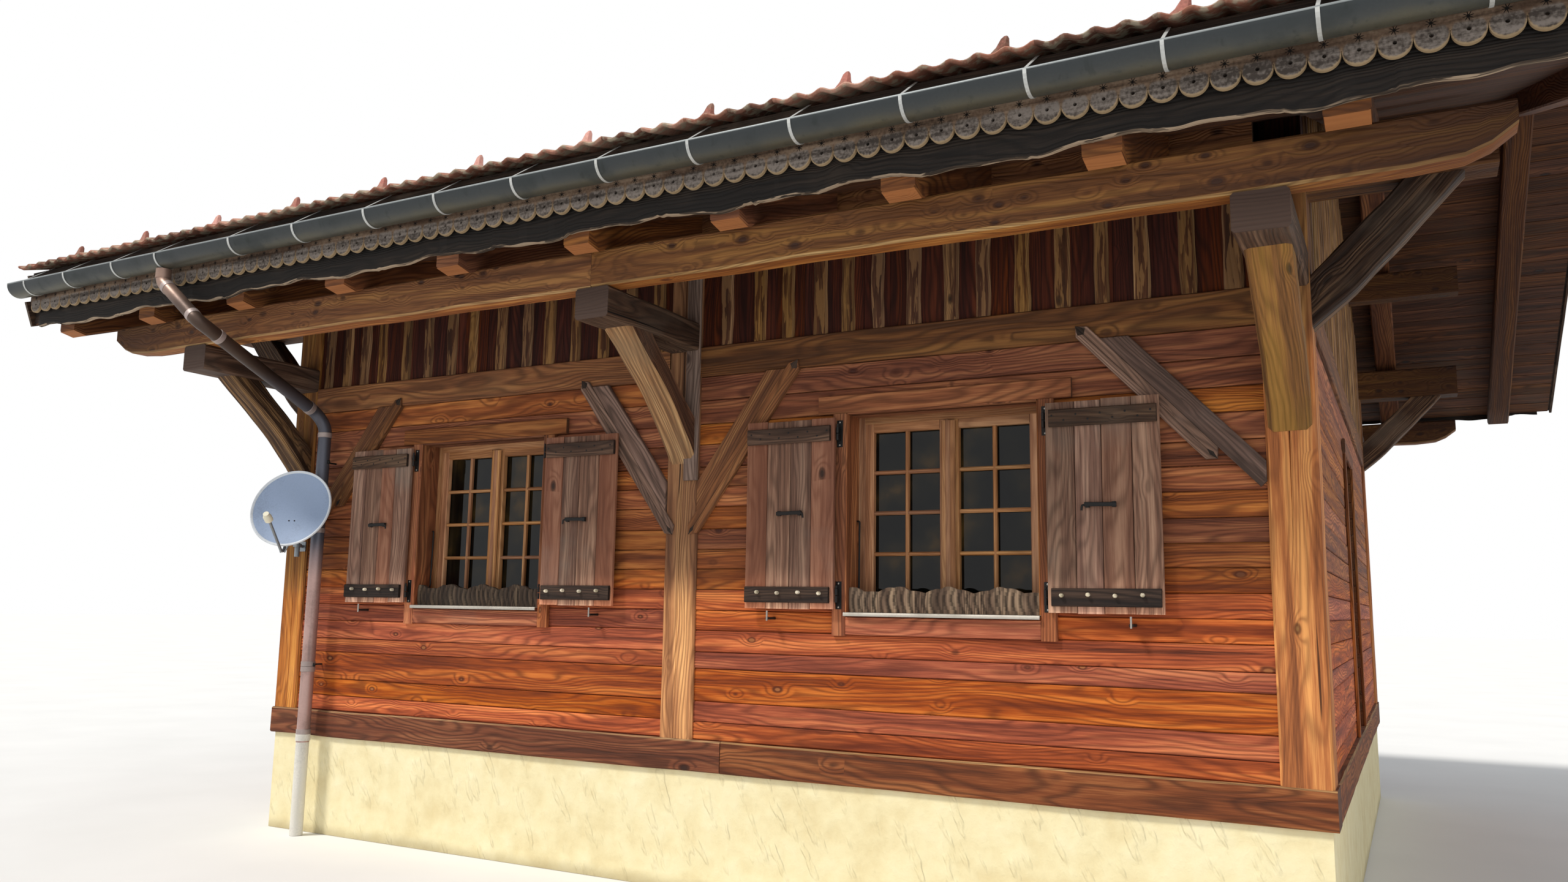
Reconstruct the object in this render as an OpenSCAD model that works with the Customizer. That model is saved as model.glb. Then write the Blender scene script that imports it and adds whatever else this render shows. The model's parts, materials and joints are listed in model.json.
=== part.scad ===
// Alpine timber chalet on a rendered plinth, two bays wide on its eaves side.
// X runs along the eaves wall, Y into the house, Z up from the foot of the plinth.

/* [House] */
// Length of the house over the wall boards
wall_len = 7770; // [7400:10:8200]
// Depth of the house over the wall boards
wall_depth = 7000; // [6400:10:7600]
// Thickness of the timber walls
wall_t = 220; // [160:10:240]
// Height of the rendered plinth
plinth_h = 740; // [500:10:900]
// Thickness of the plinth walls
plinth_t = 300; // [240:10:400]
// Thickness of the ground floor
floor_t = 180; // [120:10:200]

/* [Frame] */
// Side of the square posts
post_w = 250; // [200:10:280]
// How far posts and rails stand proud of the boards
proud = 20; // [10:5:30]
// Height of the sill beams
sill_h = 200; // [160:10:240]
// Underside of the wall plates
plate_z = 4040; // [3900:10:4200]
// Underside of the band beam
band_z = 3335; // [3250:5:3400]
// Height of the band beam
band_h = 205; // [150:5:250]

/* [Roof] */
// Roof pitch in degrees
pitch = 20; // [16:1:24]
// Distance from the wall to the rafter ends
rafter_out = 1235; // [1150:5:1300]
// Distance from the wall to the tile edge
tile_out = 1380; // [1340:5:1420]
// Distance from the house centre to the verge
verge_x = 5700; // [5500:10:5900]
// Distance from the house centre to the purlin ends
purlin_x = 4790; // [4500:10:5000]
// Spacing of the rafters
rafter_step = 1040; // [1000:10:1060]
// Height of the insulated roof layer over the rafters, measured upright
deck_h = 440; // [300:10:480]
// Height of the tile layer, measured upright
tile_h = 60; // [40:5:80]

/* [Brackets] */
// Distance from the wall to the front of the eaves purlin
purlin_out = 1067; // [1000:1:1100]
// Underside of the eaves purlins
purlin_z = 3705; // [3650:5:3750]
// Height of the bracket beams
bracket_h = 190; // [150:10:220]
// Thickness of the curved struts
strut_w = 210; // [160:10:240]

/* [Windows] */
// Width of the window openings
window_w = 1220; // [1100:10:1300]
// Bottom of the window openings
window_z = 1770; // [1700:10:1850]
// Height of the window openings
window_h = 1240; // [1150:10:1260]
// Centre of the left front window
left_window_x = -1805; // [-1850:5:-1780]
// Centre of the right front window
right_window_x = 1835; // [1800:5:1870]
// Depth of the reveal in front of the window frame
reveal = 150; // [100:5:150]
// Height of a shutter leaf
leaf_h = 1195; // [1100:5:1200]
// Thickness of the shutter planks
plank_t = 28; // [20:1:30]
// Thickness of the shutter battens
batten_t = 22; // [15:1:25]

/* [Hidden] */
$fn = 48;

half_len = wall_len / 2;
half_depth = wall_depth / 2;
slope = tan(pitch);
eps = 1;

// Underside of the rafters at a distance out from the front wall, inward distances being negative
rafter_z0 = purlin_z + 220 + purlin_out * slope;
function under_z(out) = rafter_z0 - out * slope;
rafter_h = 160 / cos(pitch);
rafter_w = 190;
function deck_z(out) = under_z(out) + rafter_h;
function tile_z(out) = deck_z(out) + deck_h;

plate_h = 285;
purlin_h = 235;
purlin_w = 150;
ridge_w = 220;
ridge_top = under_z(-half_depth) - 22;
mid_out = -half_depth / 2;
mid_w = 200;
mid_top = under_z(mid_out + mid_w / 2) + 12;

// Places along the front wall
corner_x = half_len + proud - post_w / 2;
bracket_xs = [-corner_x, 0, corner_x];
rafter_xs = [for (i = [-5 : 5]) i * rafter_step];
front_windows = [left_window_x, right_window_x];

// Shutter leaf, measured from its pivot
pivot_gap = 40;
pivot_y = -69;
leaf_edge = 15;
leaf_w = window_w / 2 + pivot_gap - leaf_edge - 4;
leaf_back = 17;
leaf_z = window_z + 15;
hinge_zs = [leaf_z + 90, leaf_z + leaf_h - 100];
knuckle_r = 9;

// Frames of reference of the four sides: outward is -Y, the boards' face is y = 0
module front_side() { translate([0, -half_depth, 0]) children(); }
module back_side() { rotate([0, 0, 180]) front_side() children(); }
module left_side() { rotate([0, 0, -90]) translate([0, -half_len, 0]) children(); }
module right_side() { rotate([0, 0, 90]) translate([0, -half_len, 0]) children(); }
module both_eaves() {
    front_side() children();
    back_side() children();
}

// A profile given as [distance out, height] points, extruded along X from x0 to x1
module along_eaves(x0, x1) {
    translate([x0, 0, 0]) rotate([90, 0, 90]) linear_extrude(x1 - x0) mirror([1, 0]) children();
}

// A flat bar in the wall plane between two [x, z] points, from y = -front to y = back
module wall_bar(a, b, w, front, back) {
    d = b - a;
    translate([a.x, 0, a.y]) rotate([0, -atan2(d.y, d.x), 0])
        translate([0, -front, -w / 2]) cube([norm(d), front + back, w]);
}

module box(x0, x1, y0, y1, z0, z1) {
    translate([x0, y0, z0]) cube([x1 - x0, y1 - y0, z1 - z0]);
}

// Ground works
module plinth() {
    color("beige") difference() {
        box(-half_len, half_len, -half_depth, half_depth, 0, plinth_h);
        box(-half_len + plinth_t, half_len - plinth_t, -half_depth + plinth_t, half_depth - plinth_t,
            -eps, plinth_h + eps);
    }
}

module floor_slab() {
    inset = post_w - proud;
    color("burlywood") box(-half_len + inset, half_len - inset, -half_depth + inset, half_depth - inset,
        plinth_h, plinth_h + floor_t);
}

module sill_beams() {
    inset = post_w - proud;
    color("saddlebrown") difference() {
        box(-half_len - 30, half_len + 30, -half_depth - 30, half_depth + 30, plinth_h, plinth_h + sill_h);
        box(-half_len + inset, half_len - inset, -half_depth + inset, half_depth - inset,
            plinth_h - eps, plinth_h + sill_h + eps);
    }
}

// Frame
sill_top = plinth_h + sill_h;

module corner_posts() {
    color("peru") for (sx = [-1, 1], sy = [-1, 1])
        translate([sx * corner_x, sy * (half_depth + proud - post_w / 2), sill_top])
            translate([-post_w / 2, -post_w / 2, 0]) cube([post_w, post_w, plate_z - sill_top]);
}

module mid_posts() {
    color("peru") both_eaves()
        box(-post_w / 2, post_w / 2, -proud, post_w - proud, sill_top, plate_z);
}

// One board wall between two posts, with its band beam and its window opening
module bay_wall(x0, x1, window_x) {
    difference() {
        union() {
            box(x0, x1, 0, wall_t, sill_top, plate_z);
            box(x0, x1, -proud, wall_t, band_z, band_z + band_h);
        }
        box(window_x - window_w / 2, window_x + window_w / 2, -proud - eps, wall_t + eps,
            window_z, window_z + window_h);
    }
}

bay_out = corner_x - post_w / 2;
bay_in = post_w / 2;
module left_bay() { bay_wall(-bay_out, -bay_in, left_window_x); }
module right_bay() { bay_wall(bay_in, bay_out, right_window_x); }
module front_left_wall() { color("sienna") front_side() left_bay(); }
module front_right_wall() { color("sienna") front_side() right_bay(); }
module back_left_wall() { color("sienna") back_side() left_bay(); }
module back_right_wall() { color("sienna") back_side() right_bay(); }

// Gable wall up to the roof boards, notched for the plates and purlins
gable_in = half_depth + proud - post_w;
plate_top = plate_z + plate_h;
module gable_wall(opening_w, opening_z, opening_h) {
    difference() {
        union() {
            translate([0, wall_t, 0]) rotate([90, 0, 0]) linear_extrude(wall_t) polygon([
                [-gable_in, sill_top], [gable_in, sill_top], [gable_in, plate_top],
                [half_depth, plate_top], [half_depth, deck_z(0)], [0, deck_z(-half_depth)],
                [-half_depth, deck_z(0)], [-half_depth, plate_top], [-gable_in, plate_top]
            ]);
            box(-gable_in, gable_in, -proud, wall_t, band_z, band_z + band_h);
        }
        box(-opening_w / 2, opening_w / 2, -proud - eps, wall_t + eps, opening_z, opening_z + opening_h);
        box(-ridge_w / 2, ridge_w / 2, -proud - eps, wall_t + eps, ridge_top - 280, ridge_top);
        for (s = [-1, 1]) translate([s * half_depth / 2, 0, 0])
            box(-mid_w / 2, mid_w / 2, -eps, wall_t + eps, mid_top - 240, mid_top);
    }
}

door_w = 960;
door_h = 2050;
module left_gable_wall() { color("sienna") left_side() gable_wall(window_w, window_z, window_h); }
module right_gable_wall() { color("sienna") right_side() gable_wall(door_w, sill_top, door_h); }

// Rafters in the frame of one eaves side
nose = 105;
module rafter_profile() {
    polygon([
        [rafter_out, deck_z(rafter_out)],
        [rafter_out, under_z(rafter_out) + 62],
        [rafter_out - nose, under_z(rafter_out - nose)],
        [-half_depth, under_z(-half_depth)],
        [-half_depth, deck_z(-half_depth)]
    ]);
}
module rafters() {
    for (x = rafter_xs) along_eaves(x - rafter_w / 2, x + rafter_w / 2) rafter_profile();
}
module long_timbers(grow = 0) {
    eaves_plate(grow);
    eaves_purlin(grow);
    translate([0, half_depth, 0]) ridge_timber(grow);
    mid_timber(grow);
}
module side_rafters() {
    difference() {
        rafters();
        long_timbers(eps);
    }
}
module front_rafters() { color("saddlebrown") front_side() side_rafters(); }
module back_rafters() { color("saddlebrown") back_side() side_rafters(); }

// Long timbers, each in the frame of one eaves side
module eaves_plate(grow = 0) {
    box(-purlin_x - grow, purlin_x + grow, -proud, post_w - proud, plate_z, plate_top);
}
nose_l = 400;
nose_h = 130;
module eaves_purlin(grow = 0) {
    end = purlin_x + grow;
    translate([0, -purlin_out, 0]) in_wall_plane(0, purlin_w) polygon([
        [-end, purlin_z + purlin_h], [end, purlin_z + purlin_h],
        [end, purlin_z + nose_h], [end - 60, purlin_z + 70], [end - 200, purlin_z + 15],
        [end - nose_l, purlin_z], [nose_l - end, purlin_z],
        [200 - end, purlin_z + 15], [60 - end, purlin_z + 70], [-end, purlin_z + nose_h]
    ]);
}
module mid_timber(grow = 0) {
    box(-purlin_x - grow, purlin_x + grow, half_depth / 2 - mid_w / 2, half_depth / 2 + mid_w / 2,
        mid_top - 240, mid_top);
}
module ridge_timber(grow = 0) {
    box(-purlin_x - grow, purlin_x + grow, -ridge_w / 2, ridge_w / 2, ridge_top - 280, ridge_top);
}

// Boards that close the wall head between the rafters
module wall_head() {
    difference() {
        along_eaves(-bay_out, bay_out)
            polygon([[0, plate_top - eps], [0, deck_z(0)], [-60, deck_z(-60)], [-60, plate_top - eps]]);
        rafters();
    }
}
module wall_plates() {
    color("sienna") both_eaves() {
        eaves_plate();
        wall_head();
    }
}
module eaves_purlins() { color("peru") both_eaves() eaves_purlin(); }
module roof_purlins() {
    color("saddlebrown") {
        both_eaves() mid_timber();
        ridge_timber();
    }
}

// Brackets that carry the eaves purlins
module bracket_beams() {
    color("saddlebrown") both_eaves() for (x = bracket_xs)
        box(x - post_w / 2, x + post_w / 2, -purlin_out, -proud, purlin_z - bracket_h, purlin_z);
}

// Naturally curved strut, as [distance out, height] points
strut_head = purlin_z - bracket_h;
module strut_profile() {
    polygon([
        [proud, 2745], [90, 2842], [180, 2945], [290, 3062], [400, 3168], [520, 3272], [640, 3370],
        [740, 3452], [815, strut_head], [540, strut_head], [440, 3428], [340, 3343], [230, 3246],
        [120, 3145], [proud, 3050]
    ]);
}
module bracket_struts() {
    color("goldenrod") both_eaves() for (x = bracket_xs)
        along_eaves(x - strut_w / 2, x + strut_w / 2) strut_profile();
}

// Braces in the wall plane that carry the overhanging plate ends
module plate_brace() {
    x0 = corner_x + post_w / 2;
    translate([0, 30 + 150, 0]) rotate([90, 0, 0]) linear_extrude(150) polygon([
        [x0, 3300], [x0 + 200, 3470], [x0 + 480, 3760], [x0 + 745, plate_z],
        [x0 + 470, plate_z], [x0 + 250, 3830], [x0, 3580]
    ]);
}
module plate_braces() {
    color("peru") both_eaves() {
        plate_brace();
        mirror([1, 0, 0]) plate_brace();
    }
}

// Wall brace of two boards: the lower one laps over post and band beam, the upper one stops at them
lap_w = 90;
upper_w = 115;
module in_wall_plane(front, back) {
    translate([0, back, 0]) rotate([90, 0, 0]) linear_extrude(front + back) children();
}
module along_brace(foot, head) {
    translate(foot) rotate(atan2(head.y - foot.y, head.x - foot.x)) mirror([0, head.x < foot.x ? 0 : 1])
        children();
}
module wall_brace(foot, head, x0, x1) {
    run = norm(head - foot);
    in_wall_plane(34, 0) along_brace(foot, head) polygon([
        [0, 0], [-40, lap_w / 2], [0, lap_w], [run, lap_w], [run + 50, lap_w / 2], [run, 0]
    ]);
    in_wall_plane(30, 0) intersection() {
        along_brace(foot, head) translate([-300, -upper_w]) square([run + 600, upper_w + eps]);
        translate([x0, 0]) square([x1 - x0, band_z]);
    }
}
module wall_braces() {
    color("sienna") both_eaves() difference() {
        union() {
            wall_brace([-50, 2330], [-810, 3370], -1200, -bay_in);
            wall_brace([60, 2330], [810, 3370], bay_in, 1200);
            wall_brace([-3340, 2610], [-2740, 3380], -bay_out, -2400);
            wall_brace([3420, 2680], [2740, 3410], 2400, bay_out);
        }
        box(-half_len, half_len, -proud, eps, band_z, band_z + band_h);
        for (x = [-corner_x, 0, corner_x])
            box(x - post_w / 2, x + post_w / 2, -proud, eps, sill_top, plate_z);
    }
}

// Roof
module deck_profile() {
    polygon([
        [-half_depth, deck_z(-half_depth)], [rafter_out, deck_z(rafter_out)],
        [rafter_out, deck_z(rafter_out) + 150], [1285, deck_z(rafter_out) + 150],
        [1285, tile_z(1285)], [-half_depth, tile_z(-half_depth)]
    ]);
}
module roof_deck() { along_eaves(-verge_x + 20, verge_x - 20) deck_profile(); }
module front_roof_deck() { color("dimgray") front_side() roof_deck(); }
module back_roof_deck() { color("dimgray") back_side() roof_deck(); }

roll_r = 24;
roll_count = 80;
slab_h = tile_h - roll_r / 2;
module tile_profile() {
    polygon([
        [-half_depth, tile_z(-half_depth)], [tile_out, tile_z(tile_out)],
        [tile_out, tile_z(tile_out) + slab_h], [-half_depth, tile_z(-half_depth) + slab_h]
    ]);
}
module tile_roll() {
    translate([0, -tile_out - 200, tile_z(tile_out + 200) + slab_h]) rotate([pitch - 90, 0, 0])
        cylinder(r = roll_r, h = (half_depth + tile_out + 400) / cos(pitch));
}
module tile_layer() {
    step = 2 * verge_x / roll_count;
    along_eaves(-verge_x, verge_x) tile_profile();
    intersection() {
        for (i = [0 : roll_count - 1]) translate([-verge_x + (i + 0.5) * step, 0, 0]) tile_roll();
        box(-verge_x, verge_x, -tile_out, half_depth, 0, 9000);
    }
}
module front_tiles() { color("rosybrown") front_side() tile_layer(); }
module back_tiles() { color("rosybrown") back_side() tile_layer(); }

ridge_r = 120;
module ridge_tiles() {
    over = slab_h + (roll_r + 1) / cos(pitch);
    top = tile_z(-half_depth) + over;
    color("rosybrown") difference() {
        translate([-verge_x, 0, top - 50]) rotate([0, 90, 0]) cylinder(r = ridge_r, h = 2 * verge_x);
        both_eaves() along_eaves(-verge_x - eps, verge_x + eps) polygon([
            [-half_depth - eps, 0], [0, 0], [0, tile_z(0) + over],
            [-half_depth, top], [-half_depth - eps, top]
        ]);
    }
}

// Board over the rafter ends, with the tree's own wandering lower edge
board_z = 3985;
board_x = 5570;
function wane(x) = 14 * sin(x / 4.1) + 9 * sin(x / 1.7 + 40) + 5 * sin(x / 0.83 + 100);
module eaves_boards() {
    steps = 90;
    color("#33291f") both_eaves() translate([0, -rafter_out, 0]) in_wall_plane(25, 0) polygon(concat(
        [[-board_x, deck_z(rafter_out) + 148]],
        [for (i = [0 : steps]) let (x = -board_x + 2 * board_x * i / steps) [x, board_z + wane(x)]],
        [[board_x, deck_z(rafter_out) + 148]]
    ));
}

// Valance with a row of half-round lobes, each with a hole
lobe_r = 67;
lobe_count = 84;
valance_z = 4104;
valance_t = 20;
module eaves_valances() {
    color("gray") both_eaves() translate([0, -1285, 0]) in_wall_plane(valance_t, 0) difference() {
        union() {
            translate([-lobe_count * lobe_r, valance_z + lobe_r + 8])
                square([2 * lobe_count * lobe_r, 4330 - valance_z - lobe_r - 8]);
            for (i = [0 : lobe_count - 1])
                translate([(2 * i + 1 - lobe_count) * lobe_r, valance_z + lobe_r]) circle(r = lobe_r - 1);
        }
        for (i = [0 : lobe_count - 1])
            translate([(2 * i + 1 - lobe_count) * lobe_r, valance_z + lobe_r]) circle(r = 9);
    }
}

// Barge boards under the verges
module barge_boards() {
    color("#4a3524") for (s = [0, 1]) mirror([s, 0, 0]) both_eaves()
        along_eaves(verge_x - 20, verge_x + 5) polygon([
            [-half_depth + board_gap, deck_z(board_gap - half_depth) - 20], [1285, deck_z(1285) - 20],
            [1285, tile_z(1285) - 15], [-half_depth + board_gap, tile_z(board_gap - half_depth) - 15]
        ]);
}

// Half-round gutter in the frame of one eaves side
gutter_r = 95;
gutter_y = -1400;
gutter_z = 4305;
gutter_x = 5650;
module gutter() {
    translate([-gutter_x, gutter_y, gutter_z]) rotate([0, 90, 0]) difference() {
        cylinder(r = gutter_r, h = 2 * gutter_x);
        translate([0, 0, 4]) cylinder(r = gutter_r - 4, h = 2 * gutter_x - 8);
        translate([-gutter_r - eps, -gutter_r - eps, -eps])
            cube([gutter_r + eps, 2 * gutter_r + 2 * eps, 2 * gutter_x + 2 * eps]);
    }
}
module gutters() { color("slategray") both_eaves() gutter(); }

// Round tube between two points
module tube(a, b, r) {
    d = b - a;
    translate(a) rotate([0, acos(d.z / norm(d)), atan2(d.y, d.x)]) cylinder(r = r, h = norm(d));
}

// Downpipe with a swan neck from the gutter to the wall
pipe_r = 50;
pipe_x = -3400;
pipe_y = -130;
outlet_x = -3735;
pipe_route = [
    [outlet_x, gutter_y, gutter_z - gutter_r - 2], [outlet_x, gutter_y, 4115],
    [-3290, gutter_y, 3775], [-3281, gutter_y + 70, 3738],
    [-3445, pipe_y - 60, 3295], [pipe_x, pipe_y, 3190], [pipe_x, pipe_y, 0]
];
module downpipe() {
    for (i = [0 : len(pipe_route) - 2]) tube(pipe_route[i], pipe_route[i + 1], pipe_r);
    for (i = [1 : len(pipe_route) - 2]) translate(pipe_route[i]) sphere(r = pipe_r + 3);
}
module downpipes() { color("slategray") both_eaves() downpipe(); }

// Places of the windows
module each_window() {
    both_eaves() for (x = front_windows) translate([x, 0, 0]) children();
    left_side() children();
}

casing_w = 90;
casing_t = 30;
head_w = 805;
window_top = window_z + window_h;
board_gap = 2;
module window_casings() {
    hw = window_w / 2;
    color("#a5643c") each_window() {
        for (s = [0, 1]) mirror([s, 0, 0])
            box(hw, hw + casing_w, -casing_t, 0, window_z - 140, window_top - board_gap);
        box(-head_w, head_w, -casing_t, 0, window_top, window_top + 115);
        box(-hw + board_gap, hw - board_gap, -casing_t + 5, 0, window_z - 133, window_z - 25);
    }
}

frame_t = 55;
module window_frames() {
    hw = window_w / 2;
    color("#b5713f") each_window() difference() {
        union() {
            box(-hw, hw, reveal, reveal + frame_t, window_z, window_top);
            box(-45, 45, reveal - 15, reveal, window_z + 60, window_top - 60);
        }
        for (s = [0, 1]) mirror([s, 0, 0])
            box(62, hw - 105, reveal - eps, reveal + frame_t + eps, window_z + 110, window_top - 105);
    }
}
module window_glass() {
    hw = window_w / 2;
    color("lightblue") each_window()
        box(-hw, hw, reveal + frame_t, reveal + frame_t + 6, window_z, window_top);
}
module window_sills() {
    hw = window_w / 2;
    color("silver") each_window() union() {
        box(-hw, hw, -casing_t - 25, reveal, window_z, window_z + 2);
        box(-hw, hw, -casing_t - 27, -casing_t - 25, window_z - 20, window_z + 2);
    }
}
module sill_boards() {
    hw = window_w / 2 - 3;
    lobe = hw / 6;
    color("#7a6a58") each_window() in_wall_plane(-10, 35) {
        translate([-hw, window_z + 2]) square([2 * hw, 104]);
        intersection() {
            for (i = [0 : 5]) translate([(2 * i - 5) * lobe, window_z + 62]) circle(r = 1.12 * lobe);
            translate([-hw, window_z + 2]) square([2 * hw, 400]);
        }
    }
}

// Shutter leaf in its open place, left of a pivot at the origin, with cranked straps on its wall side
module leaf() {
    front = leaf_back - plank_t;
    box(-leaf_edge - leaf_w, -leaf_edge, front, leaf_back, leaf_z, leaf_z + leaf_h);
    for (z = hinge_zs) {
        box(-leaf_edge - leaf_w, -leaf_edge, front - batten_t, front, z - 55, z + 55);
        translate([0, 0, z]) linear_extrude(40) {
            circle(r = knuckle_r);
            polygon([
                [-330, leaf_back], [-leaf_edge - 4, leaf_back], [-5, -5], [5, 5],
                [-leaf_edge - 2, leaf_back + 5], [-330, leaf_back + 5]
            ]);
        }
    }
}
function pivot_x(window_x, side) = window_x + side * (window_w / 2 + pivot_gap);
module open_leaf(window_x, side) {
    translate([pivot_x(window_x, side), pivot_y, 0])
        mirror([side > 0 ? 1 : 0, 0, 0]) leaf();
}
module left_window_left_shutter() { color("#6e5340") front_side() open_leaf(left_window_x, -1); }
module left_window_right_shutter() { color("#6e5340") front_side() open_leaf(left_window_x, 1); }
module right_window_left_shutter() { color("#6e5340") front_side() open_leaf(right_window_x, -1); }
module right_window_right_shutter() { color("#6e5340") front_side() open_leaf(right_window_x, 1); }

module fixed_shutters() {
    color("#6e5340") {
        back_side() for (x = front_windows, s = [-1, 1]) open_leaf(x, s);
        left_side() for (s = [-1, 1]) open_leaf(0, s);
    }
}
module shutter_pintles() {
    color("black") each_window() for (s = [-1, 1], z = hinge_zs)
        translate([pivot_x(0, s), pivot_y, z - 45]) {
            cylinder(r = knuckle_r, h = 40);
            box(-6, 6, 0, -pivot_y - casing_t, 0, 40);
        }
}

// Satellite dish on a short mast that stands off the front left corner post
dish_at = [-3440, -335, 2490];
dish_r = 320;
dish_turn = 25;
dish_tilt = 18;
mast_at = [-3585, -165, 2140];
mast_h = 470;
module dish_place() {
    translate(dish_at) rotate([0, 0, dish_turn]) rotate([90 - dish_tilt, 0, 0]) children();
}
module satellite_dish() {
    color("lightgray") front_side() dish_place() rotate_extrude() polygon([
        [0, 0], [110, 7], [200, 26], [dish_r - 20, 62], [dish_r - 4, 72], [dish_r, 66],
        [dish_r, 56], [200, 20], [110, 1], [0, -6]
    ]);
}
module dish_bracket() {
    color("gray") front_side() {
        translate(mast_at) cylinder(r = 20, h = mast_h);
        for (z = [mast_at.z + 90, mast_at.z + 390]) {
            tube([mast_at.x, mast_at.y, z], [-3700, -proud - 9, z], 12);
            box(-3740, -3660, -proud - 8, -proud, z - 40, z + 40);
        }
        dish_place() {
            translate([0, 0, -66]) cylinder(r = 45, h = 58);
            tube([0, -dish_r - 50, 30], [0, -205, 350], 11);
            tube([0, -215, 330], [0, -190, 400], 30);
            tube([0, -dish_r - 50, 30], [0, -30, -50], 11);
        }
        tube([mast_at.x, mast_at.y, mast_at.z + 300], dish_at + [-22, 50, -15], 24);
    }
}

// Entrance on the right gable
module entrance_door() {
    color("saddlebrown") right_side()
        box(-door_w / 2 + 60, door_w / 2 - 60, 70, 115, sill_top + 30, sill_top + door_h - 60);
}
module door_frame() {
    color("#a5643c") right_side() {
        for (s = [0, 1]) mirror([s, 0, 0])
            box(door_w / 2 - 60, door_w / 2, 40, 160, sill_top, sill_top + door_h);
        box(-door_w / 2 + 62, door_w / 2 - 62, 40, 160, sill_top, sill_top + 30);
        box(-door_w / 2 + 62, door_w / 2 - 62, 40, 160, sill_top + door_h - 60, sill_top + door_h);
    }
}

plinth();
floor_slab();  // floor
sill_beams();
corner_posts();
mid_posts();
front_left_wall();
front_right_wall();
back_left_wall();
back_right_wall();
left_gable_wall();
right_gable_wall();
wall_plates();
eaves_purlins();
roof_purlins();
bracket_beams();
bracket_struts();
plate_braces();
wall_braces();
front_rafters();
back_rafters();
front_roof_deck();
back_roof_deck();
front_tiles();
back_tiles();
ridge_tiles();
eaves_boards();
eaves_valances();
barge_boards();
gutters();
downpipes();
window_casings();
window_frames();
window_glass();
window_sills();
sill_boards();
left_window_left_shutter();
left_window_right_shutter();
right_window_left_shutter();
right_window_right_shutter();
fixed_shutters();
shutter_pintles();
satellite_dish();
dish_bracket();
entrance_door();
door_frame();
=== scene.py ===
"""Alpine chalet: timber, clay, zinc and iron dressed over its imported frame.

The script loads the frame, builds each sub-assembly in metres in the frame's own axes,
gives every surface a procedural finish, and sets a camera, a floor and soft light.
"""

from __future__ import annotations

import json
import logging
import random
from abc import ABC, abstractmethod
from collections.abc import Callable, Sequence
from dataclasses import dataclass, field
from enum import Enum
from functools import cache
from math import cos, dist, pi, radians, sin, tan, tau
from typing import Any

import bmesh
import bpy
from mathutils import Matrix, Vector, noise

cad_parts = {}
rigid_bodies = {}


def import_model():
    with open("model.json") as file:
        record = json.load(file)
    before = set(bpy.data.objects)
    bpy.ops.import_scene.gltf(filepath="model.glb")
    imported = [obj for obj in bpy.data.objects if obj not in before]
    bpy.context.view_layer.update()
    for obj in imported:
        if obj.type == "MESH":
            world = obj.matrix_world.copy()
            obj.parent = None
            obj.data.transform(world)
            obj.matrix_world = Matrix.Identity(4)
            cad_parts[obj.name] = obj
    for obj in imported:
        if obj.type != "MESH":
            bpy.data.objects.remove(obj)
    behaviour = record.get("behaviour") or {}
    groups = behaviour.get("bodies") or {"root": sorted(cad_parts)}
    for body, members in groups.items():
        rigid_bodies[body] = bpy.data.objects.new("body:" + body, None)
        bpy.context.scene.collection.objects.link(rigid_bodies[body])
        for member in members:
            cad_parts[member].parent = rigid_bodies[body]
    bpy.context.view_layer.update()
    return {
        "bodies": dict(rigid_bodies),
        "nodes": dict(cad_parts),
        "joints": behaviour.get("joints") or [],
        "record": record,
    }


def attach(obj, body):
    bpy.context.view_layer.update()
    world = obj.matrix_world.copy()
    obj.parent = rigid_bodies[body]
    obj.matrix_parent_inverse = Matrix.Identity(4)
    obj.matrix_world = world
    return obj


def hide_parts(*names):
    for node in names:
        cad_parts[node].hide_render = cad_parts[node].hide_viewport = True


LOG = logging.getLogger("chalet")
SEED = 1  # of the noise that makes the timbers uneven
Flat = tuple[float, float]
Spot = Sequence[float]
Colour = tuple[float, float, float]
Mesh, Socket = bpy.types.Mesh, bpy.types.NodeSocket
HOME = Matrix.Identity(4)
SHINE = 0.28  # every surface's specular level
BAND_TOP = 6.5  # height in metres at which a metal's ramp of bands ends


def tint(code: Colour | str) -> Colour:
  """Turn a six-digit sRGB code into a linear colour, or pass a linear one on.

  Args:
      code: Six hexadecimal digits, or a linear colour.

  Returns:
      Red, green and blue, each from 0 to 1.
  """
  if not isinstance(code, str):
    return code
  parts = [int(code[i : i + 2], 16) / 255 for i in (0, 2, 4)]
  r, g, b = [c / 12.92 if c <= 0.04045 else ((c + 0.055) / 1.055) ** 2.4 for c in parts]
  return r, g, b


def dimmed(code: str, share: float) -> Colour:
  """The linear colour of a code at a share of its brightness."""
  return tuple(min(1.0, c * share) for c in tint(code))


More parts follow.
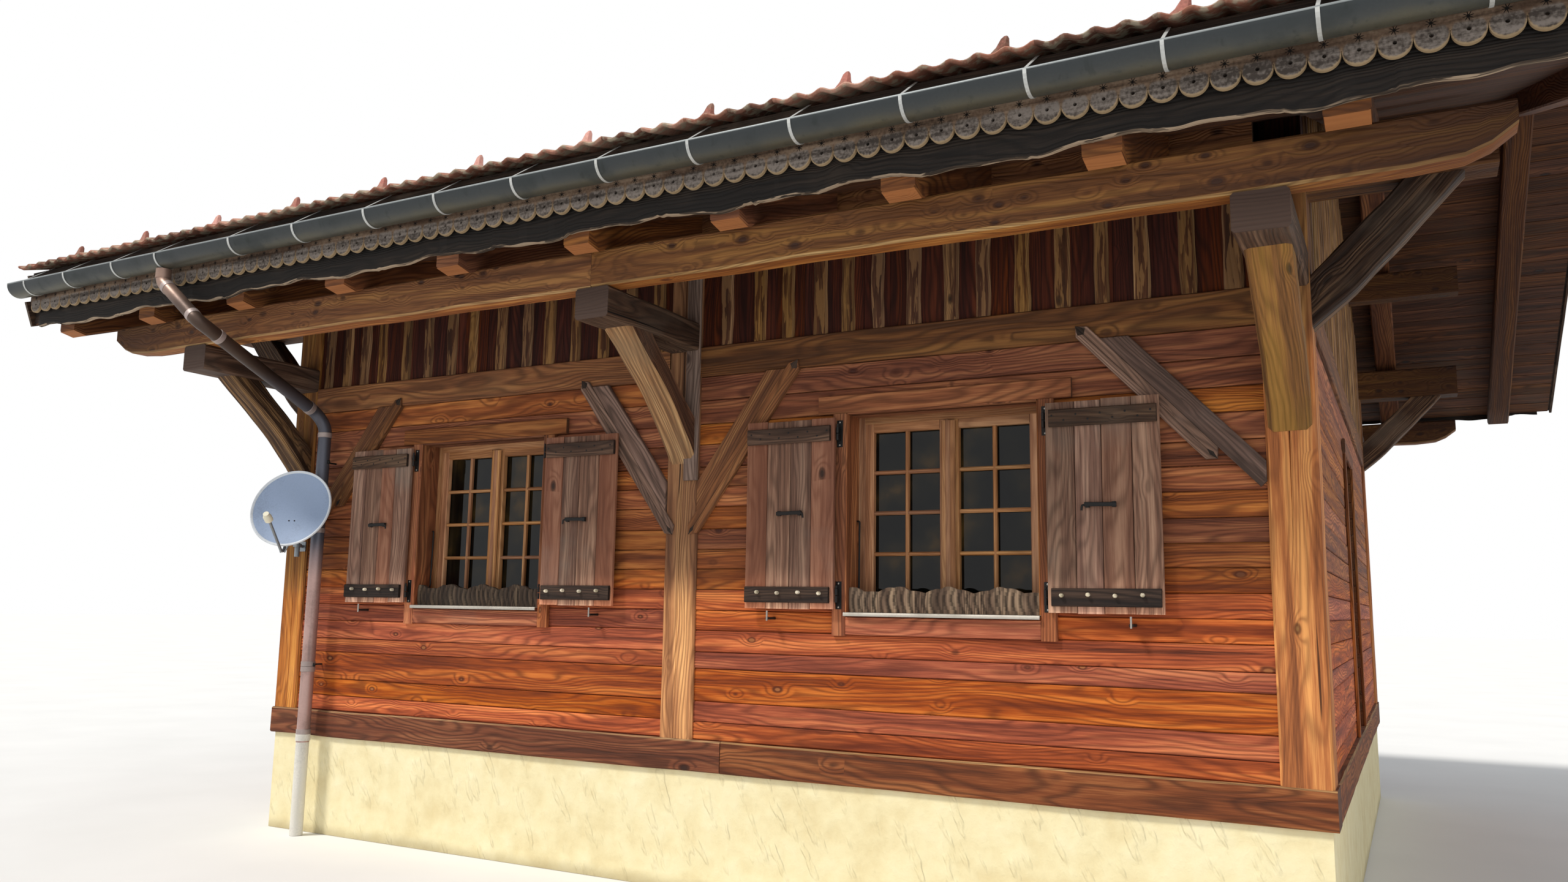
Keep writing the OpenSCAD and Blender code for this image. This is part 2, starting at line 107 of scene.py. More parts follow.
class Val:
  """Number in a shader; Python's operators on it add Math nodes."""

  def __init__(self, graph: Graph, socket: Socket) -> None:
    """Keep the graph and the socket that carries the number."""
    self.graph, self.socket = graph, socket

  def __add__(self, other: Number) -> Val:
    """Sum."""
    return self.graph.math("ADD", self, other)

  def __radd__(self, other: float) -> Val:
    """Sum, number first."""
    return self.graph.math("ADD", other, self)

  def __sub__(self, other: Number) -> Val:
    """Difference."""
    return self.graph.math("SUBTRACT", self, other)

  def __rsub__(self, other: float) -> Val:
    """Difference, number first."""
    return self.graph.math("SUBTRACT", other, self)

  def __mul__(self, other: Number) -> Val:
    """Product."""
    return self.graph.math("MULTIPLY", self, other)

  def __rmul__(self, other: float) -> Val:
    """Product, number first."""
    return self.graph.math("MULTIPLY", other, self)

  def __truediv__(self, other: Number) -> Val:
    """Quotient."""
    return self.graph.math("DIVIDE", self, other)

  def __pow__(self, other: Number) -> Val:
    """Power."""
    return self.graph.math("POWER", self, other)

  def step(self, low: float, high: float) -> Val:
    """Rise smoothly from 0 at low to 1 at high, or fall if low is the larger."""
    values = {"Value": self, "From Min": low, "From Max": high, "To Min": 0.0, "To Max": 1.0}
    return Val(self.graph, self.graph.node("ShaderNodeMapRange", values, clamp=True,
                                           interpolation_type="SMOOTHSTEP").outputs["Result"])

  def wave(self) -> Val:
    """Sine of the number in turns, from 0 to 1."""
    return self.graph.math("SINE", self * tau) * 0.5 + 0.5


Number = Val | float


class Graph:
  """Node tree under construction."""

  def __init__(self, tree: bpy.types.NodeTree) -> None:
    """Empty a tree and work in it."""
    self.tree = tree
    tree.nodes.clear()

  def node(self, kind: str, values: dict[Any, Any], **settings: Any) -> bpy.types.Node:
    """Add a node, set it up, then fill or link its sockets.

    Args:
        kind: Blender's name of the node type.
        values: Numbers, colours or links by socket name or index.
        settings: Attributes of the node, set first.

    Returns:
        The new node.
    """
    made = self.tree.nodes.new(kind)
    for key, value in settings.items():
      setattr(made, key, value)
    for key, value in values.items():
      socket = made.inputs[key]
      if isinstance(value, (Val, Socket)):
        self.tree.links.new(value.socket if isinstance(value, Val) else value, socket)
      elif socket.type == "RGBA":
        socket.default_value = (*tint(value), 1.0)
      else:
        socket.default_value = value
    return made

  def math(self, operation: str, a: Number, b: Number = 0.0) -> Val:
    """Add one Math node and give its result."""
    made = self.node("ShaderNodeMath", {0: a, 1: b}, operation=operation)
    return Val(self, made.outputs[0])

  def vector(self, x: Val, y: Val, z: Number) -> Socket:
    """Join three numbers into a vector."""
    return self.node("ShaderNodeCombineXYZ", {0: x, 1: y, 2: z}).outputs[0]

  def split(self, vector: Socket) -> tuple[Val, ...]:
    """Part a vector into its three numbers."""
    made = self.node("ShaderNodeSeparateXYZ", {0: vector})
    return tuple(Val(self, made.outputs[k]) for k in range(3))

  def noise(self, vector: Socket, scale: float, detail: float) -> Val:
    """Sample a noise texture, in cells a unit and finer layers; it varies round one half."""
    values = {"Vector": vector, "Scale": scale, "Detail": detail}
    return Val(self, self.node("ShaderNodeTexNoise", values).outputs["Fac"])

  def place(self) -> Socket:
    """Object coordinates, which are metres in the frame."""
    return self.node("ShaderNodeTexCoord", {}).outputs["Object"]

  def mark(self, name: str) -> Val:
    """Read a number stored on the mesh."""
    made = self.node("ShaderNodeAttribute", {}, attribute_name=name)
    return Val(self, made.outputs["Fac"])

  def mix(self, a: Any, b: Any, share: Number) -> Socket:
    """Mix two colours, codes or links; share is how much of b."""
    values = {0: share, 6: a, 7: b}
    return self.node("ShaderNodeMix", values, data_type="RGBA", clamp_factor=True).outputs[2]

  def ramp(self, value: Val, *stops: tuple[float, Colour | str]) -> Socket:
    """Turn a number into a colour.

    Args:
        value: The number.
        stops: Pairs of a number and the colour that it gives.

    Returns:
        The colour.
    """
    made = self.node("ShaderNodeValToRGB", {0: value})
    ramp = made.color_ramp.elements
    while len(ramp) < len(stops):
      ramp.new(0.5)
    for stop, (at, colour) in zip(ramp, stops, strict=True):
      stop.position = at
      stop.color = (*tint(colour), 1.0)
    return made.outputs[0]

  def shade(self, colour: Socket, saturation: Number, value: Number, hue: Number = 0.5) -> Socket:
    """Change a colour's saturation, brightness and hue."""
    values = {"Color": colour, "Saturation": saturation, "Value": value, "Hue": hue}
    return self.node("ShaderNodeHueSaturation", values).outputs[0]

  def bump(self, height: Val, strength: float, depth: float) -> Socket:
    """Turn a height into a normal; depth is the metres that a height of 1 stands for."""
    values = {"Strength": strength, "Distance": depth, "Height": height}
    return self.node("ShaderNodeBump", values).outputs["Normal"]

  def surface(self, colour: Socket, rough: Number, normal: Socket, **fixed: float) -> None:
    """Close the graph with a principled shader.

    Args:
        colour: Base colour.
        rough: Roughness.
        normal: Normal with the relief.
        fixed: Constants by socket name, with underscores for spaces.
    """
    values = {"Base Color": colour, "Roughness": rough, "Specular IOR Level": SHINE,
              "Normal": normal}
    values.update({key.replace("_", " "): value for key, value in fixed.items()})
    shader = self.node("ShaderNodeBsdfPrincipled", values)
    self.node("ShaderNodeOutputMaterial", {"Surface": shader.outputs[0]})


class Grain(Enum):
  """Where a timber's grain direction comes from."""

  MAP = "grain"
  ALONG_X = "x"


@dataclass(frozen=True)
class Finish(ABC):
  """Look of a surface, tied to one material slot of the record."""

  name: str
  slot: str

  @abstractmethod
  def build(self, g: Graph) -> None:
    """Add the nodes.

    Args:
      g: Graph to add to.
    """

  @cache
  def material(self) -> bpy.types.Material:
    """Build the node material once.

    Returns:
      The material.
    """
    made = bpy.data.materials.new(self.name)
    made.use_nodes = True
    self.build(Graph(made.node_tree))
    return made


@dataclass(frozen=True)
class Wood(Finish):
  """Sawn or hewn softwood: rings, knots, cracks, weathering, painted sunlight and shade."""

  dark: str
  base: str
  light: str
  grey: str = "6a5a4c"
  weather: float = 0.2
  rings: float = 32.0
  figure: float = 0.75
  knots: float = 0.22
  crowd: float = 1.0
  peel: float = 0.0
  cracks: float = 0.5
  rough: float = 0.68
  relief: float = 0.7
  # The next four fields paint sunlight into the colour: below a set height, raised at the right
  # end, the wood is brightened and its hue shifted.
  painted_sun: float = 0.0
  turn: float = -0.005
  painted_sun_top: float = 2.1
  rise: float = 0.0
  spread: float = 0.54
  moss: float = 0.0
  # Painted shade, with some weathering: darkening towards both ends of the house.
  end_shade_and_weathering: float = 0.0
  blush: str = ""
  end_grain: str = ""
  grain: Grain = Grain.MAP

  def fibres(self, g: Graph) -> tuple[Val, Val, Val, Val]:
    """Read the places along and across the grain, the board's tone and its end mark.

    Args:
        g: Graph to add to.

    Returns:
        Along, across, tone and end.
    """
    if self.grain is Grain.MAP:
      made = g.node("ShaderNodeUVMap", {}, uv_map="grain")
      along, across, _ = g.split(made.outputs[0])
      return along, across, g.mark("tone"), g.mark("end")
    x, y, z = g.split(g.place())
    return x, y + z, (z * 0.31).wave(), z * 0.0

  def build(self, g: Graph) -> None:
    """Add the nodes.

    Args:
      g: Graph to add to.
    """
    along, across, tone, end = self.fibres(g)
    seed = tone * 43.0
    cells = g.node("ShaderNodeTexVoronoi", {
        "Vector": g.vector(along * 3.6, across * 6.5, seed), "Scale": self.crowd})
    near = Val(g, cells.outputs["Distance"]) / self.crowd
    draw, size, _ = g.split(cells.outputs["Color"])
    chosen = draw.step(1.0 - self.knots - 0.01, 1.0 - self.knots + 0.01)
    near = near * (0.8 + size * 0.7)
    knot = near.step(0.1, 0.07) * chosen
    rim = near.step(0.17, 0.11) * chosen
    halo = near.step(0.45, 0.05) * chosen
    broad = g.noise(g.vector(along * 0.6, across * 3.6, seed), 1.0, 1.8)
    streak = g.noise(g.vector(along * 0.7, across * 17.0, seed), 1.0, 4.0)
    fine = g.noise(g.vector(along * 6.0, across * 150.0, seed), 1.0, 3.0)
    patch = g.noise(g.place(), 1.6, 4.0)
    ring = (across * self.rings + broad * 17.0 + halo * 1.8).wave() ** 2.0
    split = g.noise(g.vector(along * 0.5, across * 24.0, seed + 7.0), 1.0, 1.0)
    crack = split.step(0.735, 0.76) * self.cracks
    shade = tuple((p * 2 + q) / 3 for p, q in zip(tint(self.dark), tint(self.base)))
    body = g.ramp(streak * 0.72 + fine * 0.28, (0.36, shade), (0.49, self.base), (0.63, self.light))
    body = g.mix(body, self.dark, ring * (0.3 + streak * 0.9) * self.figure)
    if self.peel > 0.0:
      bark = g.noise(g.vector(along * 4.0, across * 30.0, seed), 1.0, 3.0)
      body = g.mix(body, self.light, bark.step(0.5, 0.53) * self.peel)
    worn = patch.step(0.66 - self.weather * 0.4, 0.78 - self.weather * 0.3)
    worn = worn * self.weather * 2.0
    body = g.mix(body, self.grey, worn * (0.4 + fine * 0.6))
    other = g.math("FRACT", tone * 7.3)
    body = g.shade(body, 0.92 + other * 0.14, tone * self.spread + (1.05 - self.spread / 2),
                   0.498 + other * 0.008)
    if self.blush:
      body = g.mix(body, self.blush, other.step(0.5, 0.62) * (0.2 + streak * 0.4))
    eye: Any = self.dark
    # Painted sunlight: below the lit line the colour and the knots' eyes are brightened.
    if self.painted_sun > 0.0:
      x, _, z = g.split(g.place())
      height = z + patch * 0.3 - x.step(3.0, 3.3) * self.rise
      lit = height.step(self.painted_sun_top + 0.15, self.painted_sun_top - 0.15)
      body = g.shade(body, 1.0 + lit * 0.03, 1.0 + lit * self.painted_sun, 0.5 + lit * self.turn)
      eye = g.mix(self.dark, self.light, lit * 0.7)
    body = g.mix(body, self.dark, rim * 0.7)
    body = g.mix(body, eye, knot * 0.9)
    body = g.mix(body, dimmed(self.dark, 0.25), crack)
    if self.moss > 0.0:
      damp = (patch * 0.5 + streak * 0.8).step(0.5, 0.74) * self.moss
      body = g.mix(body, "7d5f20", damp)
    # Painted shade, with some weathering: darker towards both ends of the house.
    if self.end_shade_and_weathering > 0.0:
      far = g.math("ABSOLUTE", g.split(g.place())[0]) + patch * 0.6
      body = g.mix(body, dimmed(self.dark, 0.6), far.step(3.6, 5.0) * self.end_shade_and_weathering)
    tip = self.end_grain or dimmed(self.grey, 0.55)
    body = g.mix(body, tip, end * (0.45 + streak * 0.8))
    rough = self.rough + streak * 0.2 - knot * 0.15
    height = ring * -0.5 + fine * 0.3 + streak * 0.5 - crack * 1.6 - knot * 0.4
    g.surface(body, rough, g.bump(height, self.relief, 0.004))


@dataclass(frozen=True)
class Plaster(Finish):
  """Rough-trowelled lime render, damp and dusty near the ground."""

  base: str = "e9ddb2"
  shadow: str = "dccb9c"

  def build(self, g: Graph) -> None:
    """Add the nodes.

    Args:
      g: Graph to add to.
    """
    x, y, z = g.split(g.place())
    side = x + y
    down = side * 0.42 - z * 0.9
    over = side * 0.9 + z * 0.42
    pull = g.noise(g.vector(down * 3.2, over * 11.0, 0.0), 1.0, 3.0)
    stroke = pull.step(0.56, 0.66)
    lumps = g.noise(g.place(), 7.0, 4.0)
    grit = g.noise(g.place(), 110.0, 3.0)
    swirl = g.noise(g.place(), 1.3, 3.0)
    body = g.ramp(lumps * 0.6 + swirl * 0.4, (0.28, self.shadow), (0.5, self.base),
                  (0.75, "f1e8c4"))
    body = g.mix(body, self.shadow, stroke * 0.12)
    body = g.mix(body, "8b7a58", (z + swirl * 0.12).step(0.15, 0.05) * 0.5)
    height = stroke * 0.3 + pull * 0.6 + lumps * 0.8 + grit * 0.06
    g.surface(body, 0.82 + grit * 0.12, g.bump(height, 1.0, 0.018))


@dataclass(frozen=True)
class Clay(Finish):
  """Weathered clay with lichen and sooty patches."""

  base: str = "9c6652"
  light: str = "c79a86"
  lichen: float = 0.75

  def build(self, g: Graph) -> None:
    """Add the nodes.

    Args:
      g: Graph to add to.
    """
    tone = g.mark("tone")
    fine = g.noise(g.place(), 60.0, 4.0)
    spots = g.noise(g.place(), 17.0, 5.0)
    broad = g.noise(g.place(), 1.1, 3.0)
    body = g.ramp(tone * 0.55 + fine * 0.4, (0.2, "6c4a3d"), (0.5, self.base), (0.8, self.light))
    crust = (spots + broad * 0.3).step(0.6, 0.76) * self.lichen
    body = g.mix(body, "aba18b", crust)
    body = g.mix(body, "3f352e", (spots * 0.6 + broad * 0.5).step(0.62, 0.85) * 0.5)
    g.surface(body, 0.8 + fine * 0.15, g.bump(fine * 0.6 + crust, 0.6, 0.004))


@dataclass(frozen=True)
class Metal(Finish):
  """Sheet or forged metal, painted or bare, with stains and scuffs."""

  base: str
  stain: str
  metallic: float = 0.0
  rough: float = 0.45
  stains: float = 0.4
  streaks: float = 0.0
  hammered: float = 0.1
  bands: tuple[tuple[float, str], ...] = ()

  def build(self, g: Graph) -> None:
    """Add the nodes.

    Args:
      g: Graph to add to.
    """
    x, y, z = g.split(g.place())
    cloud = g.noise(g.place(), 3.2, 5.0)
    fine = g.noise(g.place(), 85.0, 3.0)
    runs = g.noise(g.vector(x * 22.0, y * 22.0, z * 1.3), 1.0, 3.0)
    body = g.ramp(cloud * 0.7 + fine * 0.3, (0.3, dimmed(self.base, 0.72)), (0.5, self.base),
                  (0.72, dimmed(self.base, 1.25)))
    # Colours by height; on the downpipe these bands are painted sunlight and shade.
    if self.bands:
      stops = [(at / BAND_TOP, colour) for at, colour in self.bands]
      at_height = g.ramp((z + cloud * 0.06) / BAND_TOP, *stops)
      body = g.shade(at_height, 1.0, cloud * 0.4 + (0.7 + fine * 0.2))
    dirt = (cloud + fine * 0.2).step(0.58, 0.78) * self.stains
    body = g.mix(body, self.stain, dirt + runs.step(0.58, 0.72) * self.streaks)
    rough = self.rough + cloud * 0.2 + dirt * 0.2
    height = fine * 0.4 + cloud * 0.6
    g.surface(body, rough, g.bump(height, self.hammered, 0.003), Metallic=self.metallic)


class Pane(Finish):
  """Dark, slightly dusty window glass with warm patches painted as reflections of trees."""

  def build(self, g: Graph) -> None:
    """Add the nodes.

    Args:
      g: Graph to add to.
    """
    dust_and_reflection = g.noise(g.place(), 3.4, 6.0)
    # One noise makes the glass dusty in its roughness and paints warm mottled reflections of trees
    # into its colour.
    body = g.ramp(dust_and_reflection, (0.38, "060808"), (0.5, "15150f"), (0.6, "2f2716"), (0.7, "5a4420"))
    g.surface(body, 0.02 + dust_and_reflection.step(0.5, 0.8) * 0.1,
              g.bump(g.noise(g.place(), 2.5, 1.0), 0.08, 0.01),
              Transmission_Weight=0.45, IOR=1.42)


@dataclass(frozen=True)
class Fretwork(Finish):
  """Greyed board with a small eight-rayed star cut over each lobe's hole."""

  pitch: float = 0.134
  star_z: float = 4.226
  reach: float = 0.021
  lobe_z: float = 4.171

  def build(self, g: Graph) -> None:
    """Add the nodes.

    Args:
      g: Graph to add to.
    """
    x, y, z = g.split(g.place())
    cell = g.math("FRACT", x / self.pitch) - 0.5
    across = cell * self.pitch
    up = z - self.star_z
    radius = g.math("SQRT", across * across + up * up)
    turn = g.math("ARCTAN2", up, across) / tau
    ray = (turn * 8.0).wave()
    star = (radius - ray**3.0 * self.reach * 0.7).step(self.reach * 0.4, self.reach * 0.24)
    streak = g.noise(g.vector(x * 1.2, y + z * 30.0, 0.0), 1.0, 4.0)
    fine = g.noise(g.place(), 70.0, 3.0)
    broad = g.noise(g.place(), 2.3, 4.0)
    body = g.ramp(streak * 0.7 + fine * 0.3, (0.34, "3a2c22"), (0.5, "735e4d"), (0.68, "9a8470"))
    body = g.mix(body, "3c261a", broad.step(0.45, 0.65) * 0.6)
    drop = z - self.lobe_z
    reach = g.math("SQRT", across * across + drop * drop)
    hang = z.step(self.lobe_z + 0.03, self.lobe_z - 0.01)
    inside = (reach + fine * 0.008).step(0.07, 0.06)
    inside = inside * z.step(self.lobe_z + 0.045, self.lobe_z + 0.025)
    scratch = g.ramp(streak * 0.6 + fine * 0.4, (0.42, "433d39"), (0.58, "837b75"))
    body = g.mix(body, scratch, inside * 0.85)
    pale = (reach + fine * 0.014 - drop * 0.12).step(0.067, 0.075) * hang
    body = g.mix(body, "ab9370", pale * 0.7)
    body = g.mix(body, "0c0806", star)
    height = streak * 0.6 + fine * 0.3 - star * 2.0
    g.surface(body, 0.8, g.bump(height, 0.7, 0.004))


class PaleFloor(Finish):
  """Pale floor of the studio, which only keeps the shadow."""

  def build(self, g: Graph) -> None:
    """Add the nodes.

    Args:
      g: Graph to add to.
    """
    speck = g.noise(g.place(), 0.8, 3.0)
    body = g.ramp(speck, (0.3, (0.80, 0.80, 0.79)), (0.7, (0.84, 0.84, 0.83)))
    g.surface(body, 0.95, g.bump(speck, 0.05, 0.01))


# Below, the wall planks, posts, corner posts, casings, aprons and shutter planks get painted
# sunlight on their lower parts.
WALL = Wood("wall_planks", "wall_wood", "3b1609", "8a4a27", "b4703e", "6c4629", 0.1, knots=0.45,
            figure=0.68, painted_sun=0.53, turn=-0.01, relief=0.8)
# The frieze boards, battens and band beam are dark wood, their colours darkened further to paint
# the shade under the eaves.
FRIEZE = Wood("frieze_boards", "wall_wood", "140502", "3e150a", "5a2813", "30160c", 0.1,
              knots=0.08, rough=0.8, spread=0.3)
BATTEN = Wood("frieze_battens", "wall_wood", "2a170b", "502d19", "956d42", "74563a", knots=0.12,
              cracks=0.8, spread=0.26, peel=0.55, figure=0.5)
WANE = Wood("bark_edge", "wall_wood", "4a3220", "8c6644", "b08a60", "836a4c", 0.3, 60.0, knots=0.0)
BAND = Wood("band_timber", "wall_wood", "3a2112", "764827", "976639", "64492f")
SILL = Wood("sill_timber", "dark_wood", "2e150b", "6d3922", "905838", "6b4736", 0.1, 16.0,
            knots=0.3, relief=1.0)
POST = Wood("post_timber", "honey_wood", "42230f", "7a4f2c", "9c7042", "6f5a47", 0.15, painted_sun=1.45,
            turn=0.004, cracks=0.9)
COVER = Wood("cover_board", "grey_wood", "43312a", "846c60", "a68f80", "8d8078", 0.4, cracks=0.8)
CORNER = Wood("corner_timber", "honey_wood", "3c1f0f", "7f5029", "a27440", "664a36", painted_sun=0.95,
              turn=-0.008, rise=1.3, cracks=0.8, figure=0.5)
# The purlin, its edge and underside, the rafters and the bracket beams get painted shade, with some
# weathering, towards the house's ends.
PURLIN = Wood("purlin_timber", "red_wood", "331a0d", "714628", "936539", "5c4230", knots=0.8,
              crowd=1.7, cracks=1.0, relief=0.9, end_shade_and_weathering=0.7, figure=0.5)
PURLIN_EDGE = Wood("purlin_edge", "red_wood", "5c3d22", "a07a4e", "c4a070", rings=50.0, knots=0.0,
                   end_shade_and_weathering=0.6)
UNDERSIDE = Wood("purlin_underside", "red_wood", "5a2c12", "96592b", "bd8145", weather=0.1,
                 knots=0.1, end_shade_and_weathering=0.5)
RAFTER = Wood("rafter_timber", "red_wood", "2e150b", "663a20", "8a5833", "553b2a", 0.25,
              end_grain="a0663a", end_shade_and_weathering=0.4)
SOFFIT = Wood("soffit_boards", "roof_build_up", "1d0e08", "4a2a18", "6a4127", "443224", 0.3)
BRACKET = Wood("bracket_timber", "grey_wood", "1a110d", "4f382b", "705746", "5d4f45", 0.3,
               cracks=1.0, relief=1.0, end_grain="3d2d26", end_shade_and_weathering=0.6)
# The left strut's dark wood is partly weathering and partly painted shade, as the house's left end
# lies in shade.
STRUT_DARK = Wood("left_strut", "honey_wood", "170d07", "412b1d", "8b6a4b", weather=0.3,
                  cracks=0.8, relief=1.0)
STRUT_PALE = Wood("strut_face", "honey_wood", "4a2d17", "946b40", "c49c68", "80684a", 0.35,
                  cracks=1.0, relief=1.0)
STRUT_SIDE = Wood("strut_side", "honey_wood", "2a160d", "5c3a25", "7d5538", cracks=0.8, relief=1.0)
STRUT_MOSS = Wood("right_strut", "honey_wood", "33200c", "8c5c2a", "bb8440", weather=0.15,
                  moss=0.55, cracks=1.0, relief=1.0, figure=0.5)
BRACE_GREY = Wood("grey_brace", "grey_wood", "33251e", "74594c", "98796a", "84726a", 0.3, knots=0.3)
BRACE_WARM = Wood("warm_brace", "grey_wood", "381d0f", "7a4b2a", "9f6f42", weather=0.15, knots=0.3)
BRACE_TIP = Wood("brace_tip", "grey_wood", "0d0806", "2c2019", "4a3a2f", knots=0.0)
CASING = Wood("casing_boards", "orange_wood", "45220f", "844b2b", "a86d43", "6f4f3b", 0.15,
              painted_sun=0.45)
APRON = Wood("apron_boards", "orange_wood", "45200e", "7f4826", "a66e40", weather=0.1, painted_sun=0.5,
             turn=-0.01)
SASH = Wood("sash_timber", "orange_wood", "5a341d", "96643f", "ba8a60", weather=0.08, knots=0.05,
            rough=0.5, relief=0.4, figure=0.4)
# The carved boards' tones are spread wide so that the right-hand boards are painted sunlit and the
# left-hand ones shaded; the near-black end colour paints shade in the grooves.
CARVED = Wood("carved_board", "grey_wood", "1f1611", "665142", "8f7862", weather=0.3, knots=0.0,
              relief=1.0, spread=1.2, end_grain="110c09")
LEAF = Wood("shutter_planks", "shutter_wood", "2b1a12", "765443", "9c7a64", "786c61", 0.35,
            cracks=1.0, relief=1.0, blush="8c4e36", painted_sun=2.0, painted_sun_top=2.02, turn=0.0, figure=0.5)
LEAF_BATTEN = Wood("shutter_battens", "shutter_wood", "0c0706", "2e2019", "4c392d", "3f342c", 0.25,
                   end_grain="140e0a")
LEAF_HEAD = Wood("shutter_head_battens", "shutter_wood", "1c110b", "4b3527", "6f5440", "5a4a3d",
                 0.25, end_grain="1c1410")
PEG = Wood("oak_pegs", "shutter_wood", "a39478", "d8ccb2", "efe6d2", weather=0.05, knots=0.0)
EAVES = Wood("eaves_boards", "dark_wood", "070504", "1b1512", "332a24", "3a3029", 0.25, relief=1.0,
             end_grain="4a3a2c")
EAVES_WANE = Wood("eaves_bark_edge", "dark_wood", "14100d", "40342b", "b09a84", weather=0.1,
                  rings=60.0, knots=0.0, peel=0.7)
BARGE = Wood("barge_boards", "dark_wood", "120a06", "38251a", "5a4130", weather=0.3)
PLANK_DOOR = Wood("door_planks", "door_wood", "341a0c", "704022", "96633a", weather=0.15)
FLOORING = Wood("floor_boards", "floor_wood", "4d3018", "8c633b", "ab8355", weather=0.1,
                grain=Grain.ALONG_X)
# Near black, painting the shade in the gap between the tile edges and the gutter.
BUILD_UP = Wood("roof_edge", "roof_build_up", "0d0806", "2a1e17", "443429", weather=0.3,
                grain=Grain.ALONG_X)
RENDER = Plaster("trowelled_render", "render")
BEAD = Metal("gutter_bead", "zinc", "7d8283", "555958", 0.5, 0.35)
TILE = Clay("roof_tiles", "tiles")
SPUR = Clay("snow_spurs", "tiles", "b5766a", "dba79c", 0.2)
ZINC = Metal("weathered_zinc", "zinc", "3f4745", "2a2f2d", 0.5, 0.34, streaks=0.35, bands=(
    (4.2, "6b6651"), (4.24, "57554a"), (4.27, "424546"), (4.32, "323638")))
# The downpipe's colour bands by height paint light and shade: pale below 2 m as sunlit, slate grey
# up to about 3.3 m as shaded, brown along the swan neck, and pale again at the top elbow as sunlit.
PIPE = Metal("pipe_sheet", "zinc", "6f6260", "463a38", 0.45, 0.34, streaks=0.2, bands=(
    (2.0, "b3958e"), (2.3, "5c5f6a"), (3.3, "50515a"), (3.55, "43362f"), (3.95, "57463d"),
    (4.08, "93796c")))
COLLAR = Metal("pipe_collars", "zinc", "a39591", "6d605c", 0.4, 0.4)
SOIL_PIPE = Metal("ground_pipe", "zinc", "d8d5cc", "aaa493", rough=0.5, stains=0.25)
STRAP = Metal("gutter_straps", "zinc", "bdbfbd", "83817a", 0.4, 0.4)
SHEET = Metal("sill_sheet", "sill_metal", "b3ada3", "7a746b", 0.4, 0.4)
IRON = Metal("black_iron", "iron", "151414", "2c211b", rough=0.5, hammered=0.5)
SCREW = Metal("screw_heads", "iron", "a9a49c", "5c5650", 0.8, 0.4)
DISH = Metal("dish_face", "dish_paint", "93a4bf", "8290a4", rough=0.5, stains=0.3, streaks=0.12)
DISH_RIM = Metal("dish_rim", "dish_paint", "d6dce2", "a7aeb5")
CREAM = Metal("feed_cover", "dish_paint", "e3dec9", "b5ae98", rough=0.5)
GALVANISED = Metal("galvanised_tube", "iron", "8b9196", "6a6660", 0.7, 0.4)
PANE = Pane("window_pane", "glass")
FRET = Fretwork("fretwork_board", "grey_wood")
STUDIO = PaleFloor("studio_floor", "render")


class Side(Enum):
  """Side of the house, with the turn and distance of its wall face."""

  FRONT = (0.0, 3.5)
  BACK = (180.0, 3.5)
  LEFT = (-90.0, 3.885)
  RIGHT = (90.0, 3.885)

  @property
  def frame(self) -> Matrix:
    """Matrix from the wall's frame, whose outward direction is -Y, to the house."""
    turn, distance = self.value
    return Matrix.Rotation(radians(turn), 4, "Z") @ Matrix.Translation((0, -distance, 0))


@dataclass(frozen=True)
class Plan:
  """Sizes of the frame in metres, as in the part's source."""

  half_len: float = 3.885
  half_depth: float = 3.5
  slope: float = tan(radians(20.0))
  pitch: float = radians(20.0)
  wall: float = 0.22
  proud: float = 0.02
  post: float = 0.25
  corner_x: float = 3.78
  sill_z: float = 0.74
  sill_top: float = 0.94
  band_z: float = 3.335
  band_top: float = 3.54
  plate_z: float = 4.04
  plate_top: float = 4.325
  purlin_z: float = 3.705
  purlin_out: float = 1.067
  rafter_out: float = 1.235
  tile_out: float = 1.38
  verge_x: float = 5.7
  deck_h: float = 0.44
  window_z: float = 1.77
  window_top: float = 3.01
  half_window: float = 0.61
  window_xs: tuple[float, float] = (-1.805, 1.835)

  def under(self, out: float) -> float:
    """Height of the rafters' underside at a distance out from the front wall."""
    return self.purlin_z + 0.22 + (self.purlin_out - out) * self.slope

  def deck(self, out: float) -> float:
    """Height of the rafters' top."""
    return self.under(out) + 0.16 / cos(self.pitch)

  def tile(self, out: float) -> float:
    """Height of the tile layer's underside."""
    return self.deck(out) + self.deck_h


PLAN = Plan()
LONG_WALLS = (Side.FRONT.frame, Side.BACK.frame)
WINDOW_PLACES = (*(wall @ Matrix.Translation((x, 0, 0)) for wall in LONG_WALLS
                   for x in PLAN.window_xs), Side.LEFT.frame)


def spaced(line: Sequence[Flat], count: int) -> list[Flat]:
  """Set points out evenly along a broken line.

  Args:
      line: Points of the line.
      count: Number of points wanted.

  Returns:
      The evenly spaced points.
  """
  runs = [0.0]
  for a, b in zip(line, line[1:]):
    runs.append(runs[-1] + dist(a, b))
  made = []
  for k in range(count):
    want = runs[-1] * k / (count - 1)
    i = max(j for j in range(len(line) - 1) if runs[j] <= want + 1e-9)
    t = (want - runs[i]) / (runs[i + 1] - runs[i])
    made.append(tuple(p + (q - p) * t for p, q in zip(line[i], line[i + 1])))
  return made


